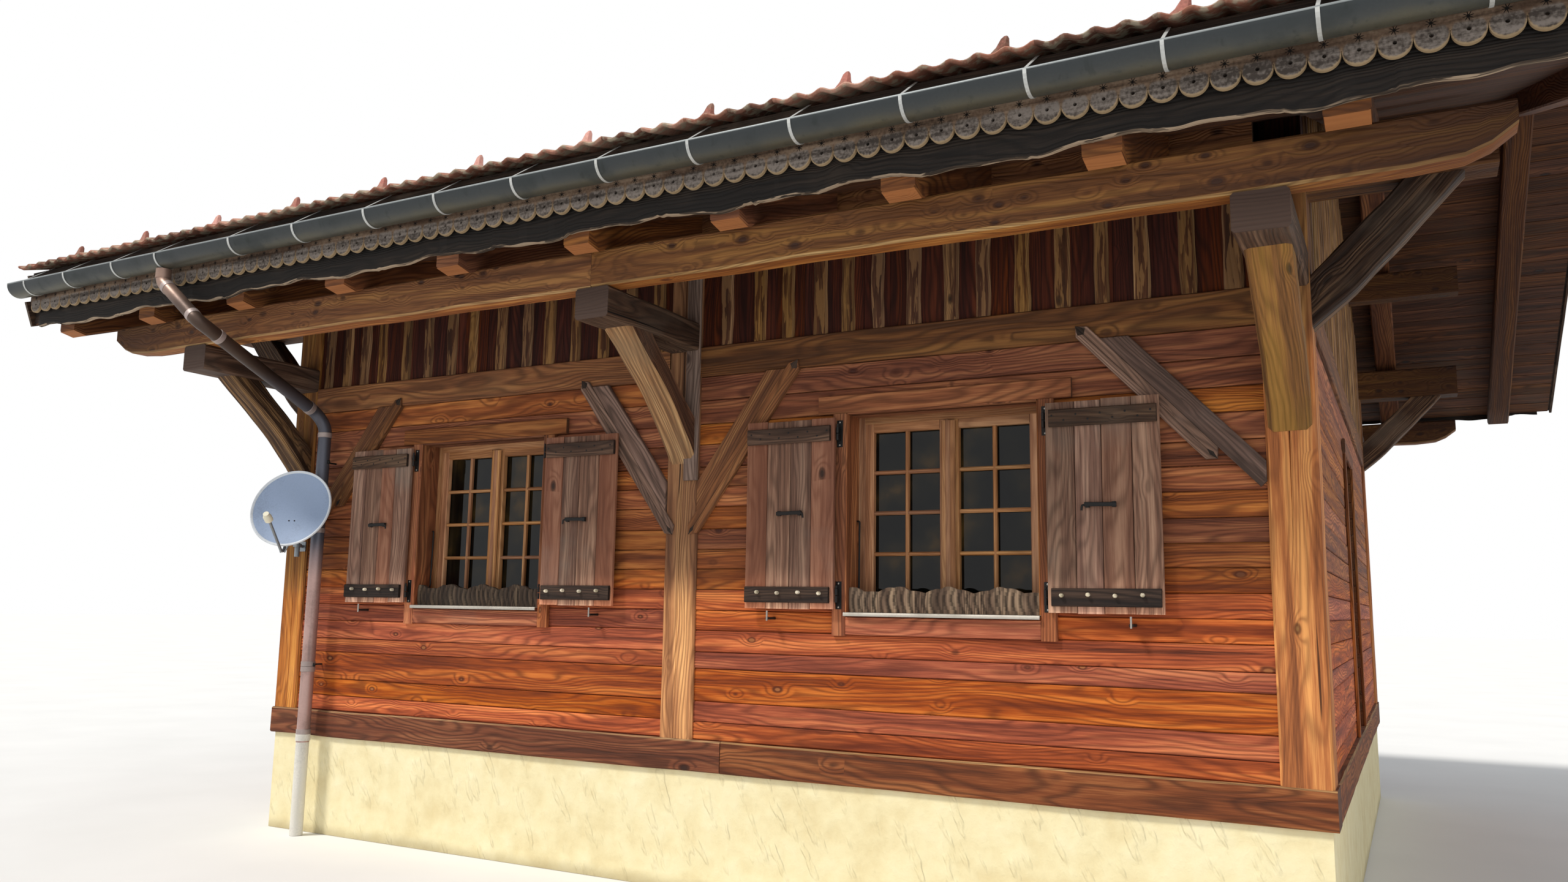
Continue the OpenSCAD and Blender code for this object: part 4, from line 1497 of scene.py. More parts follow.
  def wall_braces(self) -> None:
    """Build the braces over the planks."""
    s = Shell(16)
    for s.place in LONG_WALLS:
      self.brace(s, (-0.05, 2.33), (-0.81, 3.37), (-1.2, -0.125), 0)
      self.brace(s, (0.06, 2.33), (0.81, 3.37), (0.125, 1.2), 1)
      self.brace(s, (-3.34, 2.61), (-2.74, 3.38), (-3.655, -2.4), 1)
      self.brace(s, (3.42, 2.68), (2.74, 3.41), (2.4, 3.655), 0)
    s.show("wall_brace_boards", BRACE_GREY, BRACE_WARM, BRACE_TIP, node="wall_braces")

  def build(self) -> None:
    """Build the whole frame."""
    self.sills()
    self.posts()
    self.plates()
    self.plate_braces()
    self.wall_braces()


@dataclass
class Brackets:
  """Purlin in front of the wall, with its bracket beams and curved struts."""

  end: float = 4.79
  depth: float = 0.235
  xs: tuple[float, ...] = (-PLAN.corner_x, 0.0, PLAN.corner_x)
  low: tuple[Flat, ...] = ((0.02, 2.745), (0.09, 2.842), (0.18, 2.945), (0.29, 3.062), (0.4, 3.168),
                           (0.52, 3.272), (0.64, 3.37), (0.74, 3.452), (0.815, 3.52))
  high: tuple[Flat, ...] = ((0.02, 3.05), (0.12, 3.145), (0.23, 3.246), (0.34, 3.343),
                            (0.44, 3.428), (0.54, 3.52))
  nose: tuple[Flat, ...] = ((0.0, 0.13), (0.06, 0.07), (0.2, 0.015), (0.4, 0.0), (99.0, 0.0))

  def foot(self, x: float) -> float:
    """Height of the purlin's underside, which rises to a nose at each end.

    Args:
        x: Place along the purlin.

    Returns:
        The height.
    """
    d = self.end - abs(x)
    for (a, p), (b, q) in zip(self.nose, self.nose[1:]):
      if d <= b:
        return PLAN.purlin_z + p + (q - p) * (d - a) / (b - a)
    return PLAN.purlin_z

  def purlins(self) -> None:
    """Build the eaves purlins, each spliced over the middle bracket."""
    s = Shell(21)
    base, top, y = PLAN.purlin_z, PLAN.purlin_z + self.depth, -PLAN.purlin_out + 0.075
    mid = (base + top) / 2
    for s.place in LONG_WALLS:
      for x0, x1 in ((-self.end, -0.012), (-0.009, self.end)):

        def form(run: float, across: float, up: float, x0: float = x0) -> Flat:
          """Lift the underside at the nose."""
          low = self.foot(x0 + run)
          return across, (up if up > 0 else up * (top - low) / (top - base) + (low - base) / 2)

        s.timber((x0, y, mid), (x1, y, mid), 0.15, self.depth, edge=0.014, wobble=0.006,
                 pace=0.1, form=form, slots=(2, 1, 0, 0, 0, 0, 0, 1), cap_slot=0)
    s.show("eaves_purlin_timbers", PURLIN, PURLIN_EDGE, UNDERSIDE, node="eaves_purlins")

  def beams(self) -> None:
    """Build the bracket beams."""
    s = Shell(22)
    for s.place in LONG_WALLS:
      for x in self.xs:
        s.slab((x - 0.125, -PLAN.purlin_out, PLAN.purlin_z - 0.19),
               (x + 0.125, -PLAN.proud, PLAN.purlin_z), 1, 0.014, 0.007, 0.1)
    s.show("bracket_beam_timbers", BRACKET, node="bracket_beams")

  def struts(self) -> None:
    """Build the curved struts, each of its own weathering; the left one's darkness is partly
    painted shade.
    """
    s = Shell(23)
    for s.place in LONG_WALLS:
      for x, slots in zip(self.xs, ((0, 0), (1, 2), (3, 3))):
        s.curved(self.low, self.high, x, 0.21, lambda p, w: (w, -p[0], p[1]), 0.026, slots)
    s.show("bracket_strut_timbers", STRUT_DARK, STRUT_PALE, STRUT_SIDE, STRUT_MOSS,
           node="bracket_struts")

  def build(self) -> None:
    """Build purlins, beams and struts."""
    self.purlins()
    self.beams()
    self.struts()


@dataclass
class RoofTimbers:
  """Rafters, inner purlins and the soffit boards over the rafters."""

  step: float = 1.04
  width: float = 0.19
  tail: float = 1.13
  board: float = 0.2

  def rafters(self) -> None:
    """Build the rafters from one hewn part."""
    s = Shell(31)
    w, e = self.width / 2, 0.012
    rings = []
    for out in (-3.5, -2.0, -0.6, 0.3, 0.8, self.tail, PLAN.rafter_out):
      low = PLAN.under(out) + (0.062 if out == PLAN.rafter_out else 0.0)
      top = PLAN.deck(out)
      rings.append([Vector((x, -out, z)) for x, z in (
          (e - w, low), (w - e, low), (w, low + e), (w, top), (-w, top), (-w, low + e))])
    s.loft(rings, end=0.1)
    y0, y1 = -self.tail, 0.001 - PLAN.rafter_out
    z0, z1 = rings[-2][0].z - 0.0015, rings[-1][0].z - 0.0015
    bevel = ((y0, z0), (y1, z1), (y1, z1 + 0.003), (y0, z0 + 0.003))
    s.loft([[(x, y, z) for y, z in bevel] for x in (0.004 - w, w - 0.004)], flank=1.0)
    for wall, node in zip(LONG_WALLS, ("front_rafters", "back_rafters")):
      parts_tree(Layout.LINE).lay(
          node + "_timbers", s.mesh(), RAFTER, [wall], node=node, Count=11,
          Start=(-5.2, 0, 0), Step=(self.step, 0, 0), Turn_Spread=(0, 0, 0.001),
          Seed=3 + len(node))

  def inner(self) -> None:
    """Build the ridge beam and the two inner purlins."""
    s = Shell(32)
    top = PLAN.under(-PLAN.half_depth) - 0.022
    s.slab((-4.79, -0.11, top - 0.28), (4.79, 0.11, top), 0, 0.012, 0.004)
    top = PLAN.under(-1.65) + 0.012
    for s.place in LONG_WALLS:
      s.slab((-4.79, 1.65, top - 0.24), (4.79, 1.85, top), 0, 0.012, 0.004)
    s.show("roof_purlin_timbers", PURLIN, node="roof_purlins")

  def soffit(self) -> None:
    """Build the boards that show between the rafters from below."""
    s = Shell(33)
    s.timber((-5.665, 0, 0), (5.665, 0, 0), 0.196, 0.012, edge=0.003, wobble=0.0, pace=3)
    run = (PLAN.rafter_out + PLAN.half_depth) / cos(PLAN.pitch)
    count = round(run / self.board)
    frames = [wall @ Matrix.Translation((0, -PLAN.rafter_out, PLAN.deck(PLAN.rafter_out)))
              @ Matrix.Rotation(PLAN.pitch, 4, "X") for wall in LONG_WALLS]
    parts_tree(Layout.LINE).lay(
        "soffit_boards", s.mesh(), SOFFIT, frames, Count=count, Start=(0, 0.1, -0.004),
        Step=(0, run / count, 0), Turn_Spread=(0, 0, 0), Seed=5)

  def build(self) -> None:
    """Build all roof timbers."""
    self.rafters()
    self.inner()
    self.soffit()


@dataclass
class TileRoof:
  """Interlocking wave tiles in courses, ridge caps and snow spurs."""

  pitch_x: float = 0.285
  columns: int = 40
  rows: int = 15
  lift: float = 0.026
  facets: int = 16
  spur: tuple[tuple[float, ...], ...] = (
      (0.078, 0.03, 0.0, 0.0), (0.066, 0.024, 0.004, 0.025), (0.038, 0.018, 0.02, 0.06),
      (0.024, 0.014, 0.032, 0.1), (0.01, 0.007, 0.038, 0.115))

  @property
  def course(self) -> float:
    """Length of a course along the slope."""
    return (PLAN.tile_out + PLAN.half_depth) / cos(PLAN.pitch) / self.rows

  def tile(self) -> Mesh:
    """Build one tile with two rolls and a rounded front lip.

    Returns:
        The tile's mesh, its front edge at y 0.
    """
    s = Shell(41)
    half, length = self.pitch_x / 2, self.course + 0.05

    def top(x: float) -> float:
      """Height of the tile's face."""
      return 0.026 + 0.021 * (0.5 + 0.5 * cos(tau * x / half)) ** 1.3

    xs = [-half + 2 * half * k / self.facets for k in range(self.facets + 1)]
    rings = []
    for y, drop, thick in ((0.0, 0.006, 0.016), (0.008, 0.0, 0.024), (length, 0.0, 0.022)):
      fall = self.lift * (1 - y / length)
      rings.append([(x, y, top(x) + fall - drop) for x in xs]
                   + [(x, y, top(x) + fall - thick) for x in reversed(xs)])
    s.loft(rings, end=0.0)
    return s.mesh(50)

  def fields(self) -> None:
    """Build both slopes."""
    for wall, node in zip(LONG_WALLS, ("front_tiles", "back_tiles")):
      slope = (wall @ Matrix.Translation((0, -PLAN.tile_out, PLAN.tile(PLAN.tile_out)))
               @ Matrix.Rotation(PLAN.pitch, 4, "X"))
      parts_tree(Layout.GRID).lay(
          node + "_courses", self.tile(), TILE, [slope], node=node, Count=self.columns,
          Rows=self.rows, Start=(-PLAN.verge_x + self.pitch_x / 2, 0, 0),
          Step=(self.pitch_x, self.course, 0), Turn_Spread=(0.006, 0.004, 0.003), Seed=17)

  def ridge(self) -> None:
    """Build the ridge caps, each lapping the next."""
    s = Shell(42)
    arc = [radians(8 + 164 * k / 12) for k in range(13)]
    s.loft([[(x, q * cos(a), q * sin(a))
             for q, way in ((r, arc), (r - 0.014, arc[::-1])) for a in way]
            for x, r in ((-0.02, 0.126), (0.035, 0.126), (0.036, 0.117), (0.40, 0.110))],
           end=0.0)
    parts_tree(Layout.LINE).lay(
        "ridge_caps", s.mesh(50), TILE, node="ridge_tiles", Count=30,
        Start=(-PLAN.verge_x + 0.025, 0, PLAN.tile(-PLAN.half_depth)), Step=(0.378, 0, 0),
        Turn_Spread=(0.01, 0.004, 0.004), Seed=23)

  def spurs(self) -> None:
    """Build the pointed snow spurs along the second course."""
    s = Shell(43)
    hexagon = ((-1, 0), (-0.6, -1), (0.6, -1), (1, 0), (0.6, 1), (-0.6, 1))
    s.loft([[(c + x * w, y * t, z) for x, y in hexagon] for w, t, c, z in self.spur], end=0.0)
    frames = [wall @ Matrix.Translation((0, -1.2, PLAN.tile(1.2) + 0.045)) for wall in LONG_WALLS]
    parts_tree(Layout.LINE).lay(
        "snow_spur_tiles", s.mesh(), SPUR, frames, Count=13, Start=(-5.22, 0, 0),
        Step=(0.87, 0, 0), Turn_Spread=(0.04, 0.04, 0.08), Seed=8)

  def build(self) -> None:
    """Build tiles, caps and spurs."""
    self.fields()
    self.ridge()
    self.spurs()


@dataclass
class EavesTrim:
  """Wane-edged boards over the rafter ends, and the boards along the verges."""

  end: float = 5.57
  line: float = 3.985
  front: float = -1.26
  pieces: int = 720
  verge_x: float = 5.6915
  swings: tuple[tuple[float, float, float], ...] = ((14, 4.1, 0), (9, 1.7, 40), (5, 0.83, 100))

  def wane(self, x: float) -> float:
    """Wander of the lower edge at x, in metres."""
    return 0.001 * sum(size * sin(radians(x * 1000 / pace + shift))
                       for size, pace, shift in self.swings)

  def boards(self) -> None:
    """Build the wane-edged boards with their pale bark edge."""
    s = Shell(51)
    top, y0, y1 = PLAN.deck(PLAN.rafter_out) + 0.148, self.front, -PLAN.rafter_out
    for s.place in LONG_WALLS:
      rings = []
      for k in range(self.pieces + 1):
        x = -self.end + 2 * self.end * k / self.pieces
        chip = max(0.0, noise.noise((x * 7, 8, 0))) * noise.noise((x * 31, 5, 0))
        z = self.line + self.wane(x) + 0.03 * chip
        rim = 0.009 + 0.008 * noise.noise((x * 9, 3, 0))
        rings.append([(x, y0, top), (x, y0, z + rim), (x, y0 + 0.007, z + 0.002),
                      (x, y1, z), (x, y1, top)])
      s.loft(rings, slots=(0, 1, 1, 0, 0))
    s.show("eaves_wane_boards", EAVES, EAVES_WANE, node="eaves_boards")

  def verges(self) -> None:
    """Build the barge boards."""
    s = Shell(52)
    t = PLAN.deck_h + 0.005
    lift = PLAN.deck_h / 2 - 0.0175
    for s.place in LONG_WALLS:
      for x in (-self.verge_x, self.verge_x):
        for z in (-t * 0.25, t * 0.25):
          s.timber((x, -1.285, PLAN.deck(1.285) + lift + z),
                   (x, 3.498, PLAN.deck(-3.498) + lift + z), 0.024,
                   t * 0.5 * cos(PLAN.pitch) - 0.003, edge=0.004)
    s.show("verge_boards", BARGE, node="barge_boards")

  def build(self) -> None:
    """Build the eaves and verge boards."""
    self.boards()
    self.verges()


@dataclass
class RainGoods:
  """Gutter bead and hooks, and the downpipes with their swan necks."""

  y: float = -1.4
  z: float = 4.305
  radius: float = 0.095
  end: float = 5.65
  x: float = -3.4
  out: float = -0.13
  sides: int = 20
  route: tuple[tuple[float, float, float], ...] = (
      (-3.735, -1.4, 4.208), (-3.735, -1.4, 4.115), (-3.29, -1.4, 3.775), (-3.281, -1.33, 3.738),
      (-3.445, -0.19, 3.295), (-3.4, -0.13, 3.19), (-3.4, -0.13, 0.7))
  hooks: tuple[float, ...] = (-5.41, -4.87, -4.25, -3.72, -2.89, -2.23, -1.55, -0.93, -0.3, 0.33,
                              0.95, 1.58, 2.2, 2.83, 3.45, 4.08, 4.7, 5.33)

  def beads(self) -> None:
    """Build the rolled lips of each gutter."""
    s = Shell(61)
    for s.place in LONG_WALLS:
      for y, z, radius, sides in (
              (self.y - self.radius + 0.0095, self.z + 0.002, 0.0105, 12),
              (self.y + self.radius - 0.003, self.z + 0.001, 0.004, 8)):
        s.tube([(-self.end, y, z), (self.end, y, z)], radius, sides)
    s.show("gutter_beads", BEAD, sharp=60)

  def straps(self) -> None:
    """Build the hooks under the gutter and their stays up to the tiles."""
    s = Shell(62)
    r = self.radius + 0.001
    arc = [radians(180 + 180 * k / 14) for k in range(15)]
    outer = [Vector((0, r * cos(a), r * sin(a))) for a in arc]
    inner = [p * (1 + 0.003 / self.radius) for p in outer]
    for quad in zip(outer, outer[1:], inner[1:], inner):
      s.loft([[p + Vector((x, 0, 0)) for p in quad] for x in (-0.009, 0.009)], end=0.0)
    s.timber((0, -self.radius + 0.002, 0.004), (0, 0.13, PLAN.tile(1.27) + 0.01 - self.z),
             0.018, 0.003, edge=0.001, wobble=0, pace=1, end=0.0)
    parts_tree(Layout.POINTS).lay(
        "gutter_hooks", s.mesh(40), STRAP, LONG_WALLS,
        [(x, self.y, self.z) for x in self.hooks], Turn_Spread=(0, 0, 0.02), Seed=4)

  def collar(self, s: Shell, p: Vector, d: Vector, radius: float) -> None:
    """Add one collar at p round a pipe, d being half its length along the pipe."""
    s.tube([p - d, p - d * 0.9, p + d * 0.9, p + d], [0.051, radius, radius, 0.051],
           self.sides, slots=(2,))

  def pipes(self) -> None:
    """Build the downpipes with collars, clamps and the pale ground pipe."""
    s = Shell(63)
    corners = [Vector(p) for p in self.route]
    for s.place in LONG_WALLS:
      s.tube(rounded(corners, 0.09), 0.05, self.sides)
      s.tube([corners[0], corners[0] - Vector((0, 0, 0.07))], 0.0535, self.sides)
      for at, way in ((0.16, 1), (0.88, 1), (0.1, 3), (0.93, 3)):
        a, b = corners[way], corners[way + 1]
        self.collar(s, a + (b - a) * at, (b - a).normalized() * 0.022, 0.0535)
      for z in (3.12, 2.35, 1.30, 1.26, 0.78):
        self.collar(s, Vector((self.x, self.out, z)), Vector((0, 0, 0.02)), 0.0545)
      s.tube([(self.x, self.out, z) for z in (0.0, 0.71, 0.712, 0.76, 0.765)],
             [0.049, 0.049, 0.055, 0.055, 0.05], self.sides, slots=(1,))
    s.show("downpipe_tubes", PIPE, SOIL_PIPE, COLLAR, node="downpipes", sharp=40)
    s = Shell(64)
    for s.place in LONG_WALLS:
      for z in (2.9, 1.294):
        s.slab((-3.475, -0.132, z - 0.014), (-3.325, -0.124, z + 0.014), 0, wobble=0)
        s.slab((-3.406, -0.08, z - 0.006), (-3.394, 0.0, z + 0.006), 1, 0.002, 0)
    s.show("pipe_clamps", IRON)

  def build(self) -> None:
    """Build the rain goods."""
    self.beads()
    self.straps()
    self.pipes()


@dataclass
class Windows:
  """Casings, sashes with bars, sill sheets and carved boards of all five windows."""

  half: float = PLAN.half_window
  low: float = PLAN.window_z
  top: float = PLAN.window_top
  bar: float = 0.024
  y0: float = 0.15
  y1: float = 0.205
  columns: int = 300
  rows: int = 7

  def casings(self) -> None:
    """Build casings, head boards, aprons and reveal linings."""
    s = Shell(71)
    h, low, top = self.half, self.low, self.top
    for s.place in WINDOW_PLACES:
      for sx in (-1, 1):
        s.slab((sx * h, -0.03, low - 0.14), (sx * (h + 0.09), 0.0, top - 0.002), 2, 0.004)
        s.slab((sx * h, -0.028, low + 0.003), (sx * (h - 0.008), 0.15, top), 2, 0.001, 0)
      s.slab((-0.805, -0.03, top), (0.805, 0.0, top + 0.115), 0, 0.005)
      s.slab((-h, -0.028, top - 0.008), (h, 0.15, top), 0, 0.001, 0)
      s.slab((0.002 - h, -0.025, low - 0.133), (h - 0.002, 0.0, low - 0.025), 0, 0.004, slots=(1,))
    s.show("window_casing_boards", CASING, APRON, node="window_casings")

  def sashes(self) -> None:
    """Build fixed frames, casements, glazing bars and cover strips."""
    s = Shell(72)
    h, w, low, top, y0, y1 = self.half, self.bar / 2, self.low, self.top, self.y0, self.y1
    stile, rail0, rail1 = h - 0.105, low + 0.11, top - 0.105
    mid = (0.062 + stile) / 2
    for s.place in WINDOW_PLACES:
      for sx in (-1, 1):
        s.slab((sx * (h - 0.05), y0, low), (sx * h, y1, top), 2, 0.003, 0)
        for a, b in ((stile, h - 0.045), (0.0, 0.062)):
          s.slab((sx * a, y0 + 0.008, low + 0.045), (sx * b, y1, top - 0.045), 2, 0.006, 0)
        for z0, z1 in ((low + 0.045, rail0), (rail1, top - 0.045)):
          s.slab((sx * 0.062, y0 + 0.009, z0), (sx * stile, y1, z1), 0, 0.006, 0)
        s.slab((sx * mid - w, y0 + 0.02, rail0), (sx * mid + w, y1, rail1), 2, 0.007, 0)
        for k in (1, 2, 3):
          z = rail0 + (rail1 - rail0) * k / 4
          s.slab((sx * 0.062, y0 + 0.021, z - w), (sx * stile, y1, z + w), 0, 0.007, 0)
      for z0, z1 in ((low, low + 0.05), (top - 0.05, top)):
        s.slab((-h, y0 + 0.001, z0), (h, y1, z1), 0, 0.003, 0)
      s.slab((-0.045, 0.135, low + 0.06), (0.045, 0.152, top - 0.06), 2, 0.008, 0)
      s.slab((-0.016, 0.131, low + 0.06), (0.016, 0.14, top - 0.06), 2, 0.004, 0)
    s.show("window_sashes", SASH, node="window_frames")

  def sills(self) -> None:
    """Build the folded sill sheets."""
    s = Shell(73)
    fold = [(-0.057, -0.02), (-0.057, 0.0), (-0.054, 0.002), (0.15, 0.004), (0.15, 0.001),
            (-0.053, -0.001), (-0.054, -0.02)]
    for s.place in WINDOW_PLACES:
      s.loft([[(x, y, self.low + z) for y, z in fold] for x in (-self.half, 0.0, self.half)],
             end=0.0)
    s.show("window_sill_sheets", SHEET, node="window_sills", sharp=60)

  def scallops(self, x: float) -> list[tuple[Vector, float]]:
    """Points up one line of a carved board, each with its relief.

    Args:
        x: Place along the board.

    Returns:
        Points and reliefs from the foot to the wavy head.
    """
    head = self.low + 0.138 + 0.016 * sin(x * tau / 0.33 + 0.7) + 0.009 * abs(sin(x * tau / 0.2))
    made = []
    for j in range(self.rows + 1):
      z = self.low + 0.004 + (head - self.low - 0.004) * j / self.rows
      bow = 0.022 * sin((z - self.low) * pi / 0.15)
      wander = 0.02 * noise.noise((x * 7, z * 12, 2))
      cut = 0.5 + 0.5 * cos((x + bow + wander) * tau / 0.046)
      made.append((Vector((x, 0.004 + 0.009 * cut**2, z)), cut))
    return made

  def carvings(self) -> None:
    """Build the carved boards with their scalloped relief and wavy head."""
    s = Shell(74)
    hw, cols, rows, step = self.half - 0.012, self.columns, self.rows, self.rows + 1
    grid = [self.scallops(-hw + 2 * hw * i / cols) for i in range(cols + 1)]
    for s.place in WINDOW_PLACES:
      # Boards on the left half get a dark tone, painted shade, those on the right half a light one,
      # painted sunlight.
      tone = 0.1 if s.place.translation.x < 0.0 else 0.9
      first = s.add([p for line in grid for p, _ in line])
      for i in range(cols):
        for j in range(rows):
          k = [(i, j), (i + 1, j), (i + 1, j + 1), (i, j + 1)]
          cut = sum(grid[a][b][1] for a, b in k) / 4
          # The end mark follows the groove depth, so the end-grain colour paints shade in the
          # grooves.
          s.face([first + a * step + b for a, b in k],
                 [(grid[a][b][0].z, grid[a][b][0].x) for a, b in k], tone, cut**2 * 0.9)
      back = s.add([(line[j][0].x, 0.035, line[j][0].z) for line in grid for j in (0, rows)])
      for i in range(cols):
        a, b = first + i * step, first + (i + 1) * step
        c, d = back + 2 * i, back + 2 * i + 2
        for quad in ([a, c, d, b], [a + rows, b + rows, d + 1, c + 1], [c, c + 1, d + 1, d]):
          s.face(quad, [(0.0, 0.0), (0.0, 0.03), (0.03, 0.03), (0.03, 0.0)], tone, 0.0)
      for i, column in ((0, first), (cols, first + cols * step)):
        rim = [column + j for j in range(step)] + [back + 2 * i + 1, back + 2 * i]
        s.face(rim, [(0.0, 0.01 * k) for k in range(len(rim))], tone, 0.0)
    s.show("carved_sill_boards", CARVED, node="sill_boards", sharp=60)

  def hooks(self) -> None:
    """Build the hook rods on the left reveals."""
    s = Shell(75)
    x = -self.half + 0.02
    rod = rounded([(x - 0.012, 0.125, 2.34), (x + 0.01, 0.115, 2.34), (x + 0.01, 0.11, 1.92),
                   (x - 0.006, 0.11, 1.9)], 0.02, 3)
    for s.place in WINDOW_PLACES:
      s.tube(rod, 0.006, 8)
    s.show("reveal_hooks", IRON)

  def build(self) -> None:
    """Build all window joinery."""
    self.casings()
    self.sashes()
    self.sills()
    self.carvings()
    self.hooks()


@dataclass
class Shutter:
  """One shutter leaf: four planks, two battens, pegs, latch and strap hinges."""

  side: Side
  x: float
  hand: int
  offset: float = 0.65
  pivot_y: float = -0.069
  foot: float = 1.785
  height: float = 1.195
  width: float = 0.631
  gap: float = 0.015

  @property
  def place(self) -> Matrix:
    """Matrix from the leaf's own frame, with its pivot at the origin, to the house."""
    pivot = (self.x + self.hand * self.offset, self.pivot_y, 0)
    return self.side.frame @ Matrix.Translation(pivot) @ Matrix.Diagonal((-self.hand, 1, 1, 1))

  def wood(self, s: Shell) -> None:
    """Add the planks, the battens and the pegs.

    Args:
      s: Shell of the wood.
    """
    s.place = self.place
    top = self.foot + self.height
    x = -self.gap
    for k, share in enumerate((0.26, 0.235, 0.265, 0.24)):
      wide = self.width * share
      z0 = self.foot + s.chance.uniform(0.0, 0.006)
      z1 = top - s.chance.uniform(0.0, 0.008)
      s.slab((x - wide + 0.0015, -0.011 + 0.0008 * k, z0), (x - 0.0015, 0.017, z1), 2,
             0.004, 0.0015, 0.25)
      x -= wide
    for z, slot in ((self.foot + 0.09, 1), (top - 0.1, 3)):
      s.slab((0.012 - self.gap - self.width, -0.033, z - 0.05),
             (-self.gap - 0.026, -0.011, z + 0.05), 0, 0.006, 0.001, slots=(slot,))
    for k in range(4):
      p = Vector((-0.1 - 0.146 * k, -0.03, self.foot + 0.1 + 0.005 * (k % 2)))
      s.tube([p + Vector((0, y, 0)) for y in (0, -0.02, -0.027, -0.03)],
             [0.011, 0.0115, 0.009, 0.003], 10, slots=(2,))

  def iron(self, s: Shell) -> None:
    """Add the straps with their knuckles and pins, and the latch bar.

    Args:
      s: Shell of the iron.
    """
    s.place = self.place
    for z in (self.foot + 0.09, self.foot + self.height - 0.1):
      s.tube([(0, 0, z), (0, 0, z + 0.04)], 0.009, 12)
      s.tube([(0, 0, z + dz) for dz in (0.04, 0.046, 0.056, 0.06)],
             [0.004, 0.0075, 0.0075, 0.002], 10)
      s.slab((-0.33, 0.017, z), (-0.017, 0.0215, z + 0.04), 0, 0.001, 0)
      s.timber((-0.018, 0.0185, z + 0.02), (-0.002, 0.002, z + 0.02), 0.005, 0.04,
               edge=0.001, wobble=0, pace=1)
    z = self.foot + self.height * 0.5
    s.timber((-0.41, -0.033, z), (-0.235, -0.033, z + 0.004), 0.008, 0.024, edge=0.003,
             wobble=0.001, pace=0.05)
    for x in (-0.395, -0.25):
      s.slab((x - 0.01, -0.033, z - 0.014), (x + 0.01, -0.009, z + 0.016), 2, 0.002, 0)
    hook = [(-0.235, -0.033, z), (-0.222, -0.036, z - 0.002), (-0.22, -0.036, z - 0.03)]
    s.tube(rounded(hook, 0.01, 3), 0.006, 8)

  def nails(self) -> list[Vector]:
    """Places of the nail heads on the top batten, in the house's frame."""
    z = self.foot + self.height - 0.085
    return [self.place @ Vector((-0.06 - 0.068 * k, -0.033, z - 0.03 * (k % 2))) for k in range(9)]


@dataclass
class Shutters:
  """The hinged front leaves, the fixed leaves of the hidden sides, and their pintles."""

  def leaves(self, leaves: Sequence[Shutter], node: str, body: str) -> None:
    """Build one or more leaves that ride on the same body.

    Args:
        leaves: The leaves.
        node: Frame node that the planks replace, the stem of the pieces' names.
        body: Frame body.
    """
    wood, iron = Shell(80 + len(node)), Shell(90 + len(node))
    for leaf in leaves:
      leaf.wood(wood)
      leaf.iron(iron)
    wood.show(node + "_planks", LEAF, LEAF_BATTEN, PEG, LEAF_HEAD, node=node, body=body)
    iron.show(node + "_ironwork", IRON, body=body)
    for side in (Side.FRONT, Side.BACK, Side.LEFT):
      nails = [p for leaf in leaves if leaf.side is side for p in leaf.nails()]
      if nails:
        head = Shell(95)
        head.dome((0, 0, 0), 0.006, side.frame.to_3x3() @ Vector((0, -1, 0)))
        parts_tree(Layout.POINTS).lay(
            f"{node}_{side.name.lower()}_nails", head.mesh(), IRON, points=nails,
            body=body, Turn_Spread=(0, 0, 0), Seed=2)

  def pintles(self) -> None:
    """Build the pintles and their plates on the casings."""
    s = Shell(85)
    y = Shutter.pivot_y
    for s.place in WINDOW_PLACES:
      for sx in (-1, 1):
        x = sx * Shutter.offset
        for z in (1.875, 2.88):
          s.tube([(x, y, z - 0.045), (x, y, z - 0.005)], 0.0088, 12)
          s.slab((x - 0.006, y, z - 0.044), (x + 0.006, -0.03, z - 0.006), 1, 0.001, 0)
          s.slab((sx * 0.632, -0.0325, z - 0.085), (sx * 0.672, -0.0295, z + 0.085), 2, 0.0005, 0)
          for dz in (-0.072, 0.072):
            s.dome((x + sx * 0.003, -0.0325, z + dz), 0.006, slots=(1,))
      for x in (-1.12, 1.12):
        s.slab((x - 0.012, -0.09, 1.72), (x + 0.012, 0.0, 1.735), 1, 0.002, 0)
        s.tube([(x, -0.094, 1.712), (x, -0.094, 1.775)], 0.006, 8, slots=(1,))
    s.show("pintle_plates", IRON, SCREW, node="shutter_pintles")

  def build(self) -> None:
    """Build every leaf."""
    for word, x in zip(("left", "right"), PLAN.window_xs):
      for hand, sx in (("left", -1), ("right", 1)):
        node = f"{word}_window_{hand}_shutter"
        self.leaves([Shutter(Side.FRONT, x, sx)], node, node)
    places = (*((Side.BACK, x) for x in PLAN.window_xs), (Side.LEFT, 0.0))
    fixed = [Shutter(side, x, sx) for side, x in places for sx in (-1, 1)]
    self.leaves(fixed, "fixed_shutters", "house")
    self.pintles()


